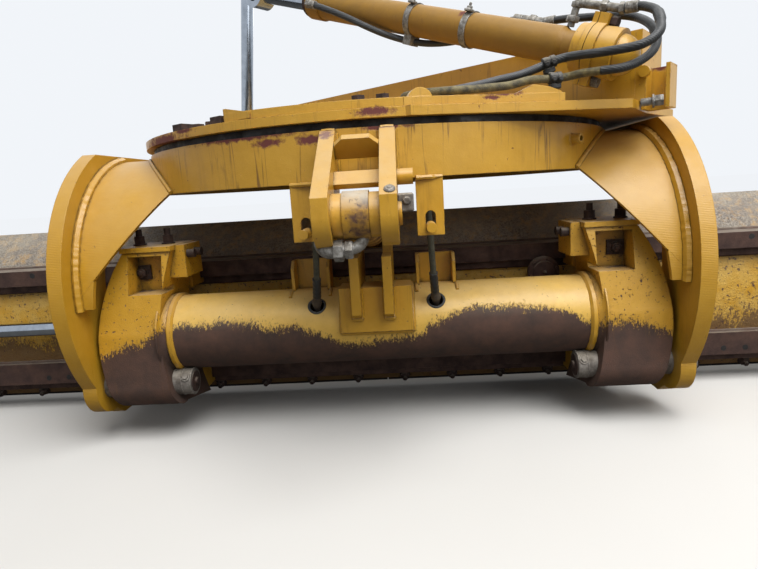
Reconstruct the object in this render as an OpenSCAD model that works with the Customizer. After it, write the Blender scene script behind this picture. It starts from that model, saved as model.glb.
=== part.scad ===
// Blade group of a motor grader: drawbar, turning circle, tilting beam,
// side-shifting moldboard and the cylinders that move them.
// Millimetres. The origin is the centre of the drawbar's front ball.
// X runs along the blade, Y is the way the blade pushes, Z is up.

/* [Layout] */
// Swing of the drawbar away from square to the blade, degrees
swing = 38; // [0:1:60]
// Distance from the front ball to the circle's axis
bar_len = 2300; // [1900:10:2600]

/* [Circle] */
// Outer radius of the circle
ring_r = 765; // [720:1:820]
// Height of the circle's band
ring_h = 119; // [100:1:140]
// Height of the band's lower edge above the cutting edge
ring_z = 707; // [700:1:715]
// Thickness of the band
ring_t = 30; // [20:1:40]
// Gear module of the teeth
gear_m = 20; // [16:1:24]
// Teeth inside the circle
ring_teeth = 66; // [60:1:66]
// Teeth on the drive pinion
pinion_teeth = 11; // [9:1:13]
// Face width of the teeth
tooth_w = 60; // [40:1:80]
// Play between the teeth along the pitch circle
tooth_play = 4; // [3:0.5:6]

/* [Drawbar] */
// Thickness of the yoke plate
plate_t = 22; // [16:1:30]
// Gap between the circle's top and the yoke plate
plate_gap = 18; // [12:1:30]
// Radius of the yoke plate's round rear
plate_r = 775; // [770:1:800]
// Half width of the yoke plate
plate_w = 904; // [860:1:940]
// Distance of the plate's front edge ahead of the circle's axis
plate_front = 830; // [780:1:900]
// Height of the plate's raised rim
rim_h = 20; // [12:1:24]
// Width of the plate's raised rim
rim_w = 80; // [50:1:100]
// Side of the square draw beams
bar_s = 120; // [90:1:150]
// Wall of the draw beams
bar_wall = 14; // [8:1:20]
// Height of the cross beam
cross_h = 175; // [140:1:190]
// Depth of the cross beam, front to back
cross_d = 180; // [120:1:240]
// Radius of the front ball
ball_r = 65; // [45:1:80]

/* [Arms] */
// Distance of an arm's inner face from the middle
arm_x = 800; // [790:1:830]
// Thickness of an arm plate
arm_t = 40; // [25:1:50]
// Radius of an arm's rear edge
arm_r = 440; // [420:1:460]
// Width of an arm plate along its curve
arm_w = 205; // [170:1:220]
// Inset of the web sheet from the arm's rear edge
web_in = 56; // [40:1:80]
// Thickness of the web sheet
web_t = 14; // [8:1:20]

/* [Tilt beam] */
// Radius of the beam tube
tube_r = 110; // [95:1:112]
// Wall of the beam tube
tube_wall = 16; // [10:1:22]
// Radius of the pivot pins
pin_r = 38; // [28:1:44]
// Radius of the pivot bosses
boss_r = 64; // [56:1:70]
// Largest reach of the end castings from the middle
end_x = 788; // [760:1:792]

/* [Moldboard] */
// Length of the moldboard
board_len = 3658; // [3000:1:4300]
// Chord of the moldboard with its cutting edge
board_h = 610; // [580:1:640]
// Radius of the moldboard's back
board_r = 413; // [400:1:440]
// Thickness of the moldboard
board_t = 22; // [14:1:28]
// Lean of the chord, top forward, degrees
board_lean = 9.9; // [6:0.1:12]
// Height of the upper rail
rail_up_h = 51; // [40:1:60]
// Height of the lower rail
rail_low_h = 74; // [60:1:84]
// Thickness of the rails, front to back
rail_t = 28; // [20:1:32]
// Length of the rails
rail_len = 3300; // [2600:1:3400]
// Thickness of the cutting edges
edge_t = 19; // [13:1:25]
// Height of the cutting edges
edge_h = 152; // [120:1:200]

/* [Cylinders] */
// Outer radius of the side-shift barrel
side_barrel_r = 40; // [34:1:40]
// Radius of the side-shift rod
side_rod_r = 22.5; // [18:0.5:28]
// Outer radius of the tip cylinder's barrel
tip_barrel_r = 47; // [40:1:48]
// Radius of the tip cylinder's rod
tip_rod_r = 25; // [20:1:27]
// Outer radius of the centre-shift barrel
mid_barrel_r = 46; // [40:1:52]
// Radius of the centre-shift rod
mid_rod_r = 28; // [22:1:34]
// Outer radius of the lift barrel
lift_barrel_r = 58; // [50:1:66]
// Radius of the lift rod
lift_rod_r = 28; // [24:1:34]
// Radius of the lift and centre-shift balls
stud_ball_r = 38; // [32:1:44]
// Radius of the hoses
hose_r = 12; // [8:1:14]

/* [Hidden] */
$fn = 96;
eps = 0.3;
fit = 0.02;
pressure = 20;
shaft_play = 0.05;
pinion_shaft_r = 45;

ring_top = ring_z + ring_h;
plate_z = ring_top + plate_gap;
plate_top = plate_z + plate_t;
rim_top = plate_top + rim_h;
ball_z = plate_top + bar_s / 2;

// Places of the circle's axis, in the blade's axes
ball_at = [bar_len * sin(swing), bar_len * cos(swing), ball_z];

// Centre of an arm's curve in Y and Z, and the pivot pins
arm_c = [-262, 435];
pin_at = [-545, 166];
pin_end = 546;

// Beam tube and the arcs that bound an end casting, seen from behind
tube_at = [-480, 300];
end_in_r = 760;
end_in_x = 610;
end_out_r = 470;
end_mid_z = 300;
end_top = 552;
hose_holes = [-168, 164];
hole_rise = 43;

// Tip cylinder: pin in the clevis, pin in the beam's lugs, middle plane
tip_x = -7;
tip_pin = [-920, 636];
lug_pin = [-440, 560];
tip_eye_r = 50;
tip_eye_w = 54;
lug_eye_w = 54;
tip_pin_r = 26;
ear_in = 50;
ear_t = 35;
lug_in = 31;
lug_t = 25;

// Side-shift cylinder's axis and ends
side_at = [-327, 293];
side_x0 = -560;
side_x1 = 740;
side_end_x = -1560;

// Ball studs of the lift cylinder and the centre-shift cylinder
cross_w = plate_w - 19;
bracket_t = 16;
stud_neck_r = 17;
lift_u = cross_w + bracket_t + 70;
lift_v = 150;
lift_z = plate_top + 74;
lift_lean = 9.6;
lift_gap = 760;
lift_len = 1150;
trunnion_r = 32;
trunnion_up = 300;
trunnion_out = 56;
mid_u = cross_w - 33;
mid_v = -100;
mid_z = plate_top + 112;
mid_rise = 19.8;
mid_len = 1060;
mid_out = 330;

// Moldboard's arc
board_y = -200;
board_d = sqrt(board_r * board_r - board_h * board_h / 4);
board_c = [board_y + board_h / 2 * sin(board_lean) + board_d * cos(board_lean),
  board_h / 2 * cos(board_lean) - board_d * sin(board_lean)];
board_half = asin(board_h / 2 / board_r);
board_mid = 180 - board_lean;
rail_y = -300;
rail_up_z = 435;
rail_low_z = 91;
function board_back(z) = board_c[0] - sqrt(board_r * board_r - pow(z - board_c[1], 2));

// Placing helpers: the blade's axes with Z from the cutting edge, and the
// drawbar's own axes, turned by the swing about the circle's axis
module at_blade() { translate(-ball_at) children(); }
module at_bar() { at_blade() rotate([0, 0, -swing]) children(); }
// A profile drawn in Y and Z, extruded along X from x0 to x1
module along_x(x0, x1) {
  translate([x0, 0, 0]) rotate([90, 0, 90]) linear_extrude(x1 - x0) children();
}
// A profile drawn in X and Z, extruded along Y from y0 to y1
module along_y(y0, y1) {
  translate([0, y1, 0]) rotate([90, 0, 0]) linear_extrude(y1 - y0) children();
}
module rod_x(x0, x1, r) { translate([x0, 0, 0]) rotate([0, 90, 0]) cylinder(r = r, h = x1 - x0); }
module tube_x(x0, x1, r, bore) {
  difference() {
    rod_x(x0, x1, r);
    rod_x(x0 - 1, x1 + 1, bore);
  }
}
module mirrored() { children(); mirror([1, 0, 0]) children(); }
module along_z(z0, z1) { translate([0, 0, z0]) linear_extrude(z1 - z0) children(); }
// Two discs joined by a band a hair inside their outer tangents
function tangent(a, ra, b, rb, side) = let (v = (b - a) / norm(b - a), s = (ra - rb) / norm(b - a),
  n = s * v + side * sqrt(1 - s * s) * [-v[1], v[0]]) [a + ra * n, b + rb * n];
module link(a, ra, b, rb) {
  up = tangent(a, ra - 0.2, b, rb - 0.2, 1);
  down = tangent(a, ra - 0.2, b, rb - 0.2, -1);
  translate(a) circle(r = ra);
  translate(b) circle(r = rb);
  polygon([up[0], up[1], down[1], down[0]]);
}
// A round hose along a route, with one reference direction off its plane
function unit(v) = v / norm(v);
module hose(route, r, off) {
  sides = 10;
  last = len(route) - 1;
  ways = [for (i = [0 : last]) unit(route[min(i + 1, last)] - route[max(i - 1, 0)])];
  flat = [for (v = ways) unit(cross(v, off))];
  points = [for (i = [0 : last]) for (k = [0 : sides - 1])
    route[i] + r * (cos(k * 36) * flat[i] + sin(k * 36) * cross(ways[i], flat[i]))];
  walls = [for (i = [0 : last - 1]) for (k = [0 : sides - 1]) let (n = (k + 1) % sides)
    for (face = [[[i, k], [i + 1, k], [i + 1, n]], [[i, k], [i + 1, n], [i, n]]])
      [for (p = face) p[0] * sides + p[1]]];
  polyhedron(points, concat([[for (k = [0 : sides - 1]) k]], walls,
    [[for (k = [0 : sides - 1]) (last + 1) * sides - 1 - k]]));
}
// Part of a flat ring between two angles less than 180 degrees apart
module arc_band(r_in, r_out, a0, a1) {
  far = 2 * r_out;
  mid = (a0 + a1) / 2;
  intersection() {
    difference() {
      circle(r = r_out, $fn = 180);
      circle(r = r_in, $fn = 180);
    }
    polygon([[0, 0], far * [cos(a0), sin(a0)], far * [cos(mid), sin(mid)],
      far * [cos(a1), sin(a1)]]);
  }
}

// Involute teeth: half the angle that a tooth spans at radius r, and an outline
// through flank points given in modules past the pitch circle
function involute(a) = tan(a) - a * PI / 180;
function flank(teeth, r, play) = let (base = gear_m * teeth / 2 * cos(pressure))
  90 / teeth + (involute(pressure) - (r > base ? involute(acos(base / r)) : 0)
  - play / 4 / r) * 180 / PI;
module tooth_outline(teeth, offsets, play) {
  pitch_r = gear_m * teeth / 2;
  last = len(offsets) - 1;
  polygon([for (i = [0 : teeth - 1]) for (side = [-1, 1]) for (k = [0 : last])
    let (r = pitch_r + gear_m * offsets[side < 0 ? k : last - k],
      a = i * 360 / teeth + side * flank(teeth, r, play)) r * [cos(a), sin(a)]]);
}
module pinion_outline() tooth_outline(pinion_teeth, [-1.2, -0.33, 0, 0.45, 0.85], tooth_play);
module ring_gap_outline() tooth_outline(ring_teeth, [-0.9, 0, 0.55, 1.1], -tooth_play);
gear_r = gear_m * ring_teeth / 2;
pinion_at = gear_r - gear_m * pinion_teeth / 2;

module circle_ring() color([0.62, 0.47, 0.2]) at_blade() {
  translate([0, 0, ring_z]) difference() {
    cylinder(r = ring_r, h = ring_h, $fn = 240);
    translate([0, 0, -1]) cylinder(r = ring_r - ring_t, h = ring_h - tooth_w + 1, $fn = 240);
    translate([0, 0, ring_h - tooth_w - 1]) rotate([0, 0, 90 - swing])
      linear_extrude(tooth_w + 2) ring_gap_outline();
  }
  // Side blocks that carry the arms
  for (s = [-1, 1]) difference() {
    translate([s > 0 ? 600 : -arm_x, -260, ring_z + 12]) cube([arm_x - 600, 520, ring_h - 24]);
    translate([0, 0, ring_z]) cylinder(r = ring_r - 1, h = ring_h, $fn = 240);
  }
}

module pinion() color([0.35, 0.32, 0.3]) at_bar() translate([0, pinion_at, 0]) {
  translate([0, 0, ring_top - tooth_w]) rotate([0, 0, 90]) linear_extrude(tooth_w) pinion_outline();
  translate([0, 0, ring_top - 1]) cylinder(r = pinion_shaft_r, h = plate_top - ring_top + 40);
}

// Arm plate: a C from the circle's side down to the pivot pin
module arm_plate(s) {
  along_x(s > 0 ? arm_x : -arm_x - arm_t, s > 0 ? arm_x + arm_t : -arm_x) difference() {
    union() {
      intersection() {
        translate(arm_c) difference() {
          circle(r = arm_r, $fn = 180);
          circle(r = arm_r - arm_w, $fn = 180);
        }
        polygon([[-760, 60], [-430, 60], [-430, 300], [-262, 435], [-262, ring_top + 8],
          [-760, ring_top + 8]]);
      }
      translate([-360, ring_z + 4]) square([620, ring_h + 4]);
      translate(pin_at) circle(r = boss_r + 14);
    }
    translate(pin_at) circle(r = pin_r + 0.3);
  }
}
module arm_left() color([0.7, 0.53, 0.22]) at_blade() arm_plate(-1);
module arm_right() color([0.7, 0.53, 0.22]) at_blade() arm_plate(1);

// Web sheet between the circle and an arm, bent along the arm's curve
module arm_web(s) {
  difference() {
    intersection() {
      along_x(s > 0 ? 400 : -arm_x, s > 0 ? arm_x : -400) translate(arm_c)
        arc_band(arm_r - web_in - web_t, arm_r - web_in, 90, 190);
      along_y(-760, -200) polygon([[s * arm_x, 430], [s * arm_x, ring_top], [s * 400, ring_top],
        [s * 400, ring_z + 2], [s * 560, ring_z + 2]]);
    }
    translate([0, 0, ring_z - 10]) cylinder(r = ring_r + 0.2, h = ring_h + 20, $fn = 240);
  }
}
module arm_web_left() color([0.66, 0.5, 0.22]) at_blade() arm_web(-1);
module arm_web_right() color([0.66, 0.5, 0.22]) at_blade() arm_web(1);

// Clevis on the circle that carries the tip cylinder
module tip_clevis() color([0.64, 0.48, 0.2]) at_blade() {
  difference() {
    translate([tip_x, 0, 0]) {
      for (s = [-1, 1]) {
        along_x(s > 0 ? ear_in : -ear_in - ear_t, s > 0 ? ear_in + ear_t : -ear_in) ear_side();
        // Spacer between an ear and the cylinder's eye
        along_x(s > 0 ? tip_eye_w / 2 + eps : -ear_in, s > 0 ? ear_in : -tip_eye_w / 2 - eps)
          translate(tip_pin) circle(r = tip_eye_r - 4);
      }
      // Upper brace with cut corners, and the lower brace
      translate([0, -796, 770]) rotate([-45, 0, 0]) translate([0, 0, -14]) linear_extrude(14)
        polygon([[-ear_in, 6], [ear_in, 6], [ear_in, -30], [30, -50], [-30, -50], [-ear_in, -30]]);
      along_x(-ear_in, ear_in) polygon([[-848, 728], [-836, 718], [-864, 690], [-876, 700]]);
      // Stop boss beside the right ear
      translate([0, -860, 709]) rod_x(ear_in + ear_t, ear_in + ear_t + 34, 17);
    }
    cylinder(r = ring_r + 0.02, h = 2000, $fn = 240);
    translate([tip_x, tip_pin[0], tip_pin[1]]) rod_x(-200, 200, tip_pin_r + fit);
  }
  translate([tip_x, tip_pin[0], tip_pin[1]]) rod_x(-ear_in - ear_t - 8, ear_in + ear_t + 8, tip_pin_r);
}
module ear_side() union() {
  polygon([[-735, ring_top - 4], [-775, ring_top - 4], [-985, 676], [-985, 634], tip_pin,
    [-876, 589], [-735, ring_z + 2]]);
  translate(tip_pin) circle(r = boss_r + 1);
}

// Slotted plates that hang from the band, each with a peg for the hose
module hose_brackets() color([0.5, 0.38, 0.18]) at_blade() for (x = [-145, 151])
  translate([x, 0, 0]) {
    along_y(-749, -735) difference() {
      translate([-32, 571]) square([64, ring_z - 571]);
      translate([0, 592]) slot_2d(25);
    }
    translate([0, -800, 592]) rotate([-90, 0, 0]) cylinder(r = 12, h = 70);
  }
module slot_2d(h) {
  circle(r = 12);
  translate([-12, 0]) square([24, h]);
  translate([0, h]) circle(r = 12);
}

// Round beam with the holes that the hoses go into
module beam_tube() color([0.62, 0.46, 0.2]) at_blade() difference() {
  tube_span(640, tube_r);
  tube_span(641, tube_r - tube_wall);
  for (x = hose_holes) hole_axis(x) cylinder(r = 26, h = 60);
}
module tube_span(x, r) translate([0, tube_at[0], tube_at[1]]) rod_x(-x, x, r);
module hole_axis(x) translate([x, tube_at[0], tube_at[1]]) rotate([90 - hole_rise, 0, 0])
  translate([0, 0, tube_r - 40]) children();

// End casting: two arcs bound it seen from behind, its side is a bracket
module end_side() {
  link(tube_at, tube_r + 8, pin_at, boss_r);
  polygon([[-594, 330], [-548, end_top], [-384, end_top], [-372, 504], [-372, 72], [-530, 104],
    [-501, 160], [-480, 300]]);
}
module end_arcs() difference() {
  translate([end_x - end_out_r, end_mid_z - 10]) circle(r = end_out_r, $fn = 180);
  translate([end_in_x - end_in_r, end_mid_z + 10]) circle(r = end_in_r, $fn = 240);
}
module end_casting() difference() {
  union() {
    intersection() {
      along_x(545, 800) end_side();
      along_y(-700, -300) end_arcs();
    }
    // Top plate, clamp block, and the fillet where the tube runs in
    translate([568, -556, end_top - 2]) cube([146, 180, 14]);
    translate([542, -520, 470]) cube([60, 120, end_top + 11 - 470]);
    translate([0, tube_at[0], tube_at[1]]) rotate([0, 90, 0]) rotate_extrude() difference() {
      translate([tube_r - 4, 585]) square([28, 32]);
      translate([tube_r + 30, 583]) circle(r = 30);
    }
  }
  // Pocket between the two ribs
  translate([598, -700, 432]) cube([98, 212, 106]);
  // Room for the side-shift barrel ahead of the casting
  translate([500, -372, 0]) cube([400, 200, 700]);
  tube_span(641, tube_r + fit);
  translate([0, pin_at[0], pin_at[1]]) rod_x(500, 900, pin_r + fit);
}
module beam_end_right() color([0.66, 0.5, 0.22]) at_blade() end_casting();
module beam_end_left() color([0.66, 0.5, 0.22]) at_blade() mirror([1, 0, 0]) end_casting();

// Pad and lugs on the beam for the tip cylinder's rod
module beam_lugs() color([0.6, 0.45, 0.2]) at_blade() {
  difference() {
    union() {
      translate([-98, -604, 303]) cube([196, 90, 124]);
      for (s = [-1, 1]) translate([tip_x, 0, 0])
        along_x(s > 0 ? lug_in : -lug_in - lug_t, s > 0 ? lug_in + lug_t : -lug_in) lug_side();
    }
    tube_span(641, tube_r + fit);
    translate([tip_x, lug_pin[0], lug_pin[1]]) rod_x(-200, 200, tip_pin_r + fit);
  }
  translate([tip_x, lug_pin[0], lug_pin[1]]) rod_x(-lug_in - lug_t - 6, lug_in + lug_t + 6, tip_pin_r);
}
module lug_side() union() {
  polygon([[-604, 342], [-636, 358], [-636, 512], [-548, 512], [-478, 590], lug_pin, [-392, 556],
    [-430, 396], [-500, 330]]);
  translate(lug_pin) circle(r = tip_eye_r - 2);
}

// Pins of the tilt pivots, from inside each casting out past its arm
module pivot_pins() color([0.45, 0.38, 0.32]) at_blade() mirrored()
  translate([0, pin_at[0], pin_at[1]]) rod_x(pin_end, arm_x + arm_t + 24, pin_r);

// Upright studs with nuts on the castings, and bolts in their clamp blocks
module end_studs() color([0.3, 0.24, 0.2]) at_blade() mirrored() {
  for (x = [612, 698]) translate([x, -460, end_top + 12]) {
    cylinder(r = 9, h = 46);
    cylinder(r = 19, h = 4);
    translate([0, 0, 4]) cylinder(r = 16, h = 22, $fn = 6);
  }
  for (y = [-500, -448]) translate([0, y, 536]) rod_x(520, 542, 12);
}

// Shoes that hold the rails
module rail_shoes() color([0.5, 0.4, 0.22]) at_blade() mirrored() for (r = [
    [rail_up_z, rail_up_h], [rail_low_z, rail_low_h]])
  along_x(590, 735) difference() {
    translate([-372, r[0] - 18]) square([372 + rail_y + 24, r[1] + 36]);
    translate([rail_y - 0.5, r[0] - 0.5]) square([100, r[1] + 1]);
    translate(board_c) circle(r = board_r + 4, $fn = 180);
  }

// Bent guards on the beam behind the hoses, open to the rear
module hose_guides() color([0.55, 0.42, 0.2]) at_blade() difference() {
  for (x = [-190, 170]) translate([x, 0, 0]) along_z(396, 494) difference() {
    translate([-56, -500]) square([112, 64]);
    translate([-47, -501]) square([94, 56]);
  }
  tube_span(641, tube_r + fit);
  // Cut corners of the side flanges
  for (x = [-190, 170]) translate([x, -500, 494]) rotate([45, 0, 0])
    cube([200, 30, 30], center = true);
}

// Hoses of the tip cylinder, from behind the brackets down into the beam
tilt_route = [[0, -508, 326], [0, -532, 348], [0, -560, 376], [0, -584, 404], [0, -604, 436],
  [0, -624, 474], [0, -644, 512], [0, -663, 552], [0, -677, 594], [0, -684, 640]];
module tilt_hoses() color([0.12, 0.13, 0.12]) at_blade() for (h = [
    [hose_holes[0], 38], [hose_holes[1], -16]])
  hose([for (p = tilt_route) p + [h[0] + h[1] * pow(max(0, (p[2] - 376) / 264), 0.8), 0, 0]],
    hose_r - 2, [1, 0, 0]);

module side_barrel() color([0.6, 0.46, 0.22]) at_blade() translate([0, side_at[0], side_at[1]]) {
  tube_x(side_x0 + 60, side_x1, side_barrel_r, side_barrel_r - 8);
  tube_x(side_x0, side_x0 + 60, side_barrel_r, side_rod_r + 0.1);
  rod_x(side_x1, side_x1 + 24, side_barrel_r);
  // Saddles on the beam tube
  for (x = [-360, 300]) translate([x, 0, 0]) difference() {
    translate([0, -60, -22]) cube([60, 60, 44]);
    rod_x(-1, 61, side_barrel_r - 4);
    translate([0, tube_at[0] - side_at[0], tube_at[1] - side_at[1]]) rod_x(-1, 61, tube_r + fit);
  }
}

module board_profile(r_in, r_out, from_bottom, to_top) translate(board_c)
  arc_band(r_in, r_out, board_mid + board_half - from_bottom, board_mid - board_half + to_top);

module moldboard() color([0.55, 0.5, 0.45]) at_blade()
  along_x(-board_len / 2, board_len / 2) board_profile(board_r - board_t, board_r, 6, 0);

// Rail: a dark wear head on a base that is welded to the board
module rail(z, h) {
  along_x(-rail_len / 2, rail_len / 2) difference() {
    union() {
      translate([rail_y, z]) square([rail_t, h]);
      translate([rail_y + rail_t - 1, z - 24]) square([140, h + 24]);
    }
    translate(board_c) circle(r = board_r, $fn = 180);
  }
}
module upper_rail() color([0.42, 0.3, 0.24]) at_blade() rail(rail_up_z, rail_up_h);
module lower_rail() color([0.42, 0.3, 0.24]) at_blade() rail(rail_low_z, rail_low_h);

module cutting_edges() color([0.2, 0.19, 0.18]) at_blade() for (s = [-1, 1])
  along_x(s > 0 ? 2 : -board_len / 2, s > 0 ? board_len / 2 : -2)
    board_profile(board_r - board_t - edge_t, board_r - board_t, 0,
      2 * board_half - edge_h / board_r * 57.3);

module end_bits() color([0.25, 0.22, 0.2]) at_blade() for (s = [-1, 1])
  along_x(s > 0 ? board_len / 2 - 130 : -board_len / 2, s > 0 ? board_len / 2 : -board_len / 2 + 130)
    board_profile(board_r - board_t - edge_t, board_r - board_t, edge_h / board_r * 57.3 + 0.5, 24);

module side_rod() color([0.7, 0.7, 0.72]) at_blade() translate([0, side_at[0], side_at[1]]) {
  rod_x(side_end_x, 30, side_rod_r);
  difference() {
    translate([side_end_x - 50, -40, -50]) cube([50, 40 + board_back(side_at[1]) - side_at[0] + 5, 100]);
    translate([-3000, board_c[0] - side_at[0], board_c[1] - side_at[1]]) rod_x(0, 3000, board_r);
  }
}

// Tip cylinder, drawn along +Y from the clevis pin and turned to its lug
tip_run = norm(lug_pin - tip_pin);
tip_turn = atan2(lug_pin[1] - tip_pin[1], lug_pin[0] - tip_pin[0]);
module at_tip() at_blade() translate([tip_x, tip_pin[0], tip_pin[1]]) rotate([tip_turn, 0, 0]) children();
module tip_barrel() color([0.5, 0.45, 0.35]) at_tip() {
  difference() {
    union() {
      rod_x(-tip_eye_w / 2, tip_eye_w / 2, tip_eye_r);
      rotate([-90, 0, 0]) cylinder(r = tip_barrel_r, h = 360);
    }
    rod_x(-100, 100, tip_pin_r + 0.3);
    translate([0, 70, 0]) rotate([-90, 0, 0]) cylinder(r = tip_barrel_r - 9, h = 250);
    translate([0, 60, 0]) rotate([-90, 0, 0]) cylinder(r = tip_rod_r + 0.1, h = 400);
    for (s = [-1, 1]) translate([s * (tip_eye_w / 2 + 60), 0, 0]) cube([120, 112, 200], center = true);
  }
}
module tip_rod() color([0.7, 0.7, 0.72]) at_tip() {
  difference() {
    union() {
      translate([0, 120, 0]) rotate([-90, 0, 0]) cylinder(r = tip_rod_r, h = tip_run - 150);
      translate([0, tip_run, 0]) rod_x(-lug_eye_w / 2, lug_eye_w / 2, tip_eye_r - 4);
    }
    translate([0, tip_run, 0]) rod_x(-100, 100, tip_pin_r + 9);
  }
}

// Drawbar: two beams from the plate to the nose
bar_u = 430;
nose_u = 78;
nose_v = bar_len - 230;
module beam_plan(inset) {
  a = [bar_u, cross_d];
  b = [nose_u, nose_v];
  side = (bar_s / 2 - inset) * unit([b[1] - a[1], a[0] - b[0]]);
  reach = 100 * unit(b - a);
  intersection() {
    polygon([a - reach + side, b + side, b - side, a - reach - side]);
    translate([-plate_w, cross_d]) square([2 * plate_w, nose_v - 60 - cross_d]);
  }
}
module drawbar_beams() color([0.78, 0.6, 0.25]) at_bar() mirrored() difference() {
  along_z(plate_top, plate_top + bar_s) beam_plan(0);
  along_z(plate_top + bar_wall, plate_top + bar_s - bar_wall) beam_plan(bar_wall);
}
module drawbar_nose() color([0.6, 0.48, 0.24]) at_bar() {
  along_z(plate_top, plate_top + bar_s) polygon([[-170, nose_v - 60], [170, nose_v - 60],
    [90, bar_len - 110], [50, bar_len - 60], [-50, bar_len - 60], [-90, bar_len - 110]]);
  translate([0, bar_len, ball_z]) sphere(r = ball_r);
  translate([0, bar_len - 70, ball_z]) rotate([-90, 0, 0]) cylinder(r = 38, h = 60);
}

// Yoke plate: a round rear with a straight shoulder on each side
shoulder = [plate_r * cos(43.5), -plate_r * sin(43.5)];
corner = [plate_w, -79];
plate_half = [[-1, shoulder[1]], shoulder * 1.013, shoulder + [16, 20], corner, [plate_w - 18, 108],
  [plate_w - 4, 330], [540, plate_front], [-1, plate_front]];
module plate_outline() union() {
  intersection() {
    circle(r = plate_r, $fn = 240);
    translate([-plate_w, -plate_r]) square([2 * plate_w, plate_r]);
  }
  for (s = [-1, 1]) polygon([for (p = plate_half) [s * p[0], p[1]]]);
}
module yoke_plate() color([0.72, 0.55, 0.22]) at_bar() difference() {
  along_z(plate_z, plate_top) plate_outline();
  translate([0, pinion_at, plate_z - 1]) cylinder(r = pinion_shaft_r + 6, h = plate_t + 2);
}

// Raised rim along the plate's rear right edge, with its fin, lug and notched pad
edge_way = unit(corner - shoulder);
edge_in = [-edge_way[1], edge_way[0]];
rim_start = -77.5;
rim_pad = 388;
function edge_point(along, inset) = shoulder + along * edge_way + inset * edge_in;
module yoke_rim() color([0.74, 0.57, 0.24]) at_bar() {
  along_z(plate_top, rim_top) {
    arc_band(plate_r - 5 - rim_w, plate_r - 5, rim_start, -43.5);
    polygon([for (p = [[-12, 5], [rim_pad, 5], [rim_pad, 5 + rim_w], [-12, 5 + rim_w]])
      edge_point(p[0], p[1])]);
  }
  // Fin at the rim's start
  rotate([0, 0, rim_start]) translate([plate_r - 20, 0, plate_top]) rotate([90, 0, 90])
    linear_extrude(14) polygon([[-3, 2], [78, 2], [78, rim_h - 4], [6, rim_h + 11], [-3, rim_h + 11]]);
  // Lug and pad on the straight stretch, drawn along the edge
  translate([shoulder[0], shoulder[1], 0]) rotate([0, 0, atan2(edge_way[1], edge_way[0])])
    translate([0, 7, rim_top - 6]) rotate([90, 0, 0]) translate([0, 0, -22]) linear_extrude(22) {
      intersection() {
        translate([28, -4]) circle(r = 30);
        translate([-10, 0]) square([80, 40]);
      }
      polygon([[262, 0], [262, 7], [306, 26], [350, 20], [rim_pad - 8, 9], [rim_pad - 8, 0]]);
    }
}

module cross_beam() color([0.76, 0.58, 0.24]) at_bar() difference() {
  translate([-cross_w, 0, plate_top]) cube([2 * cross_w, cross_d, cross_h]);
  translate([-cross_w - 10, 14, plate_top + 14]) cube([2 * cross_w + 20, cross_d - 28, cross_h - 28]);
}

// End plates of the cross beam, each with an upright channel open to the rear
module side_brackets() color([0.7, 0.55, 0.22]) at_bar() mirrored() {
  translate([cross_w, 0, plate_top]) cube([bracket_t, cross_d, cross_h]);
  translate([cross_w + bracket_t, 0, 0]) along_z(plate_z, lift_z + 10) difference() {
    square([66, 66]);
    translate([10, -1]) square([46, 56]);
  }
  translate([cross_w + bracket_t + 8, -14, lift_z - 4]) rotate([-90, 0, 0]) cylinder(r = 14, h = 14);
}

// Hooked shoes that carry the circle, their clamp blocks and bolts on the plate:
// angle about the circle's axis, places of the blocks, height of the bolts' seat
shoes = [[-86, [-80, 80], plate_top], [-50, [], rim_top], [-9, [80], plate_top],
  [40, [-80, 80], plate_top], [140, [-80, 80], plate_top], [189, [-80, 80], plate_top],
  [226, [-80, 80], plate_top]];
tooth_tip_r = gear_r - 0.9 * gear_m;
shoe_r = tooth_tip_r - 52;
shoe_low = ring_top - tooth_w - 6;
module shoe_section() polygon([[shoe_r, plate_z], [shoe_r, shoe_low - 22],
  [ring_r - ring_t - 23, shoe_low - 22], [ring_r - ring_t - 23, shoe_low], [shoe_r + 42, shoe_low],
  [shoe_r + 42, plate_z]]);
module circle_shoes() color([0.4, 0.35, 0.3]) at_bar() for (shoe = shoes)
  rotate([0, 0, shoe[0]]) translate([0, 45, 0]) rotate([90, 0, 0]) linear_extrude(90) shoe_section();
module shoe_bolts() color([0.35, 0.28, 0.24]) at_bar() for (shoe = shoes)
  rotate([0, 0, shoe[0]]) translate([plate_r - 40, 0, shoe[2]]) {
    for (y = [-28, 28]) translate([0, y, 0]) cylinder(r = 17, h = 13, $fn = 6);
    for (y = shoe[1]) translate([-32, y - 20, 0]) cube([60, 40, 18]);
  }
module wear_strip() color([0.12, 0.1, 0.09]) at_bar() along_z(ring_top + eps, plate_z) difference() {
  circle(r = ring_r - 12, $fn = 240);
  circle(r = ring_r - 76, $fn = 240);
}

// Ball of the left lift cylinder, and the one of the centre-shift cylinder
module ball_studs() color([0.45, 0.4, 0.33]) at_bar() {
  translate([-lift_u, lift_v, lift_z]) {
    rod_x(0, lift_u - cross_w - bracket_t, stud_neck_r);
    sphere(r = stud_ball_r);
  }
  translate([mid_u, 0, mid_z]) {
    rotate([90, 0, 0]) cylinder(r = 26, h = -mid_v);
    translate([0, mid_v, 0]) sphere(r = stud_ball_r);
  }
}

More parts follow.
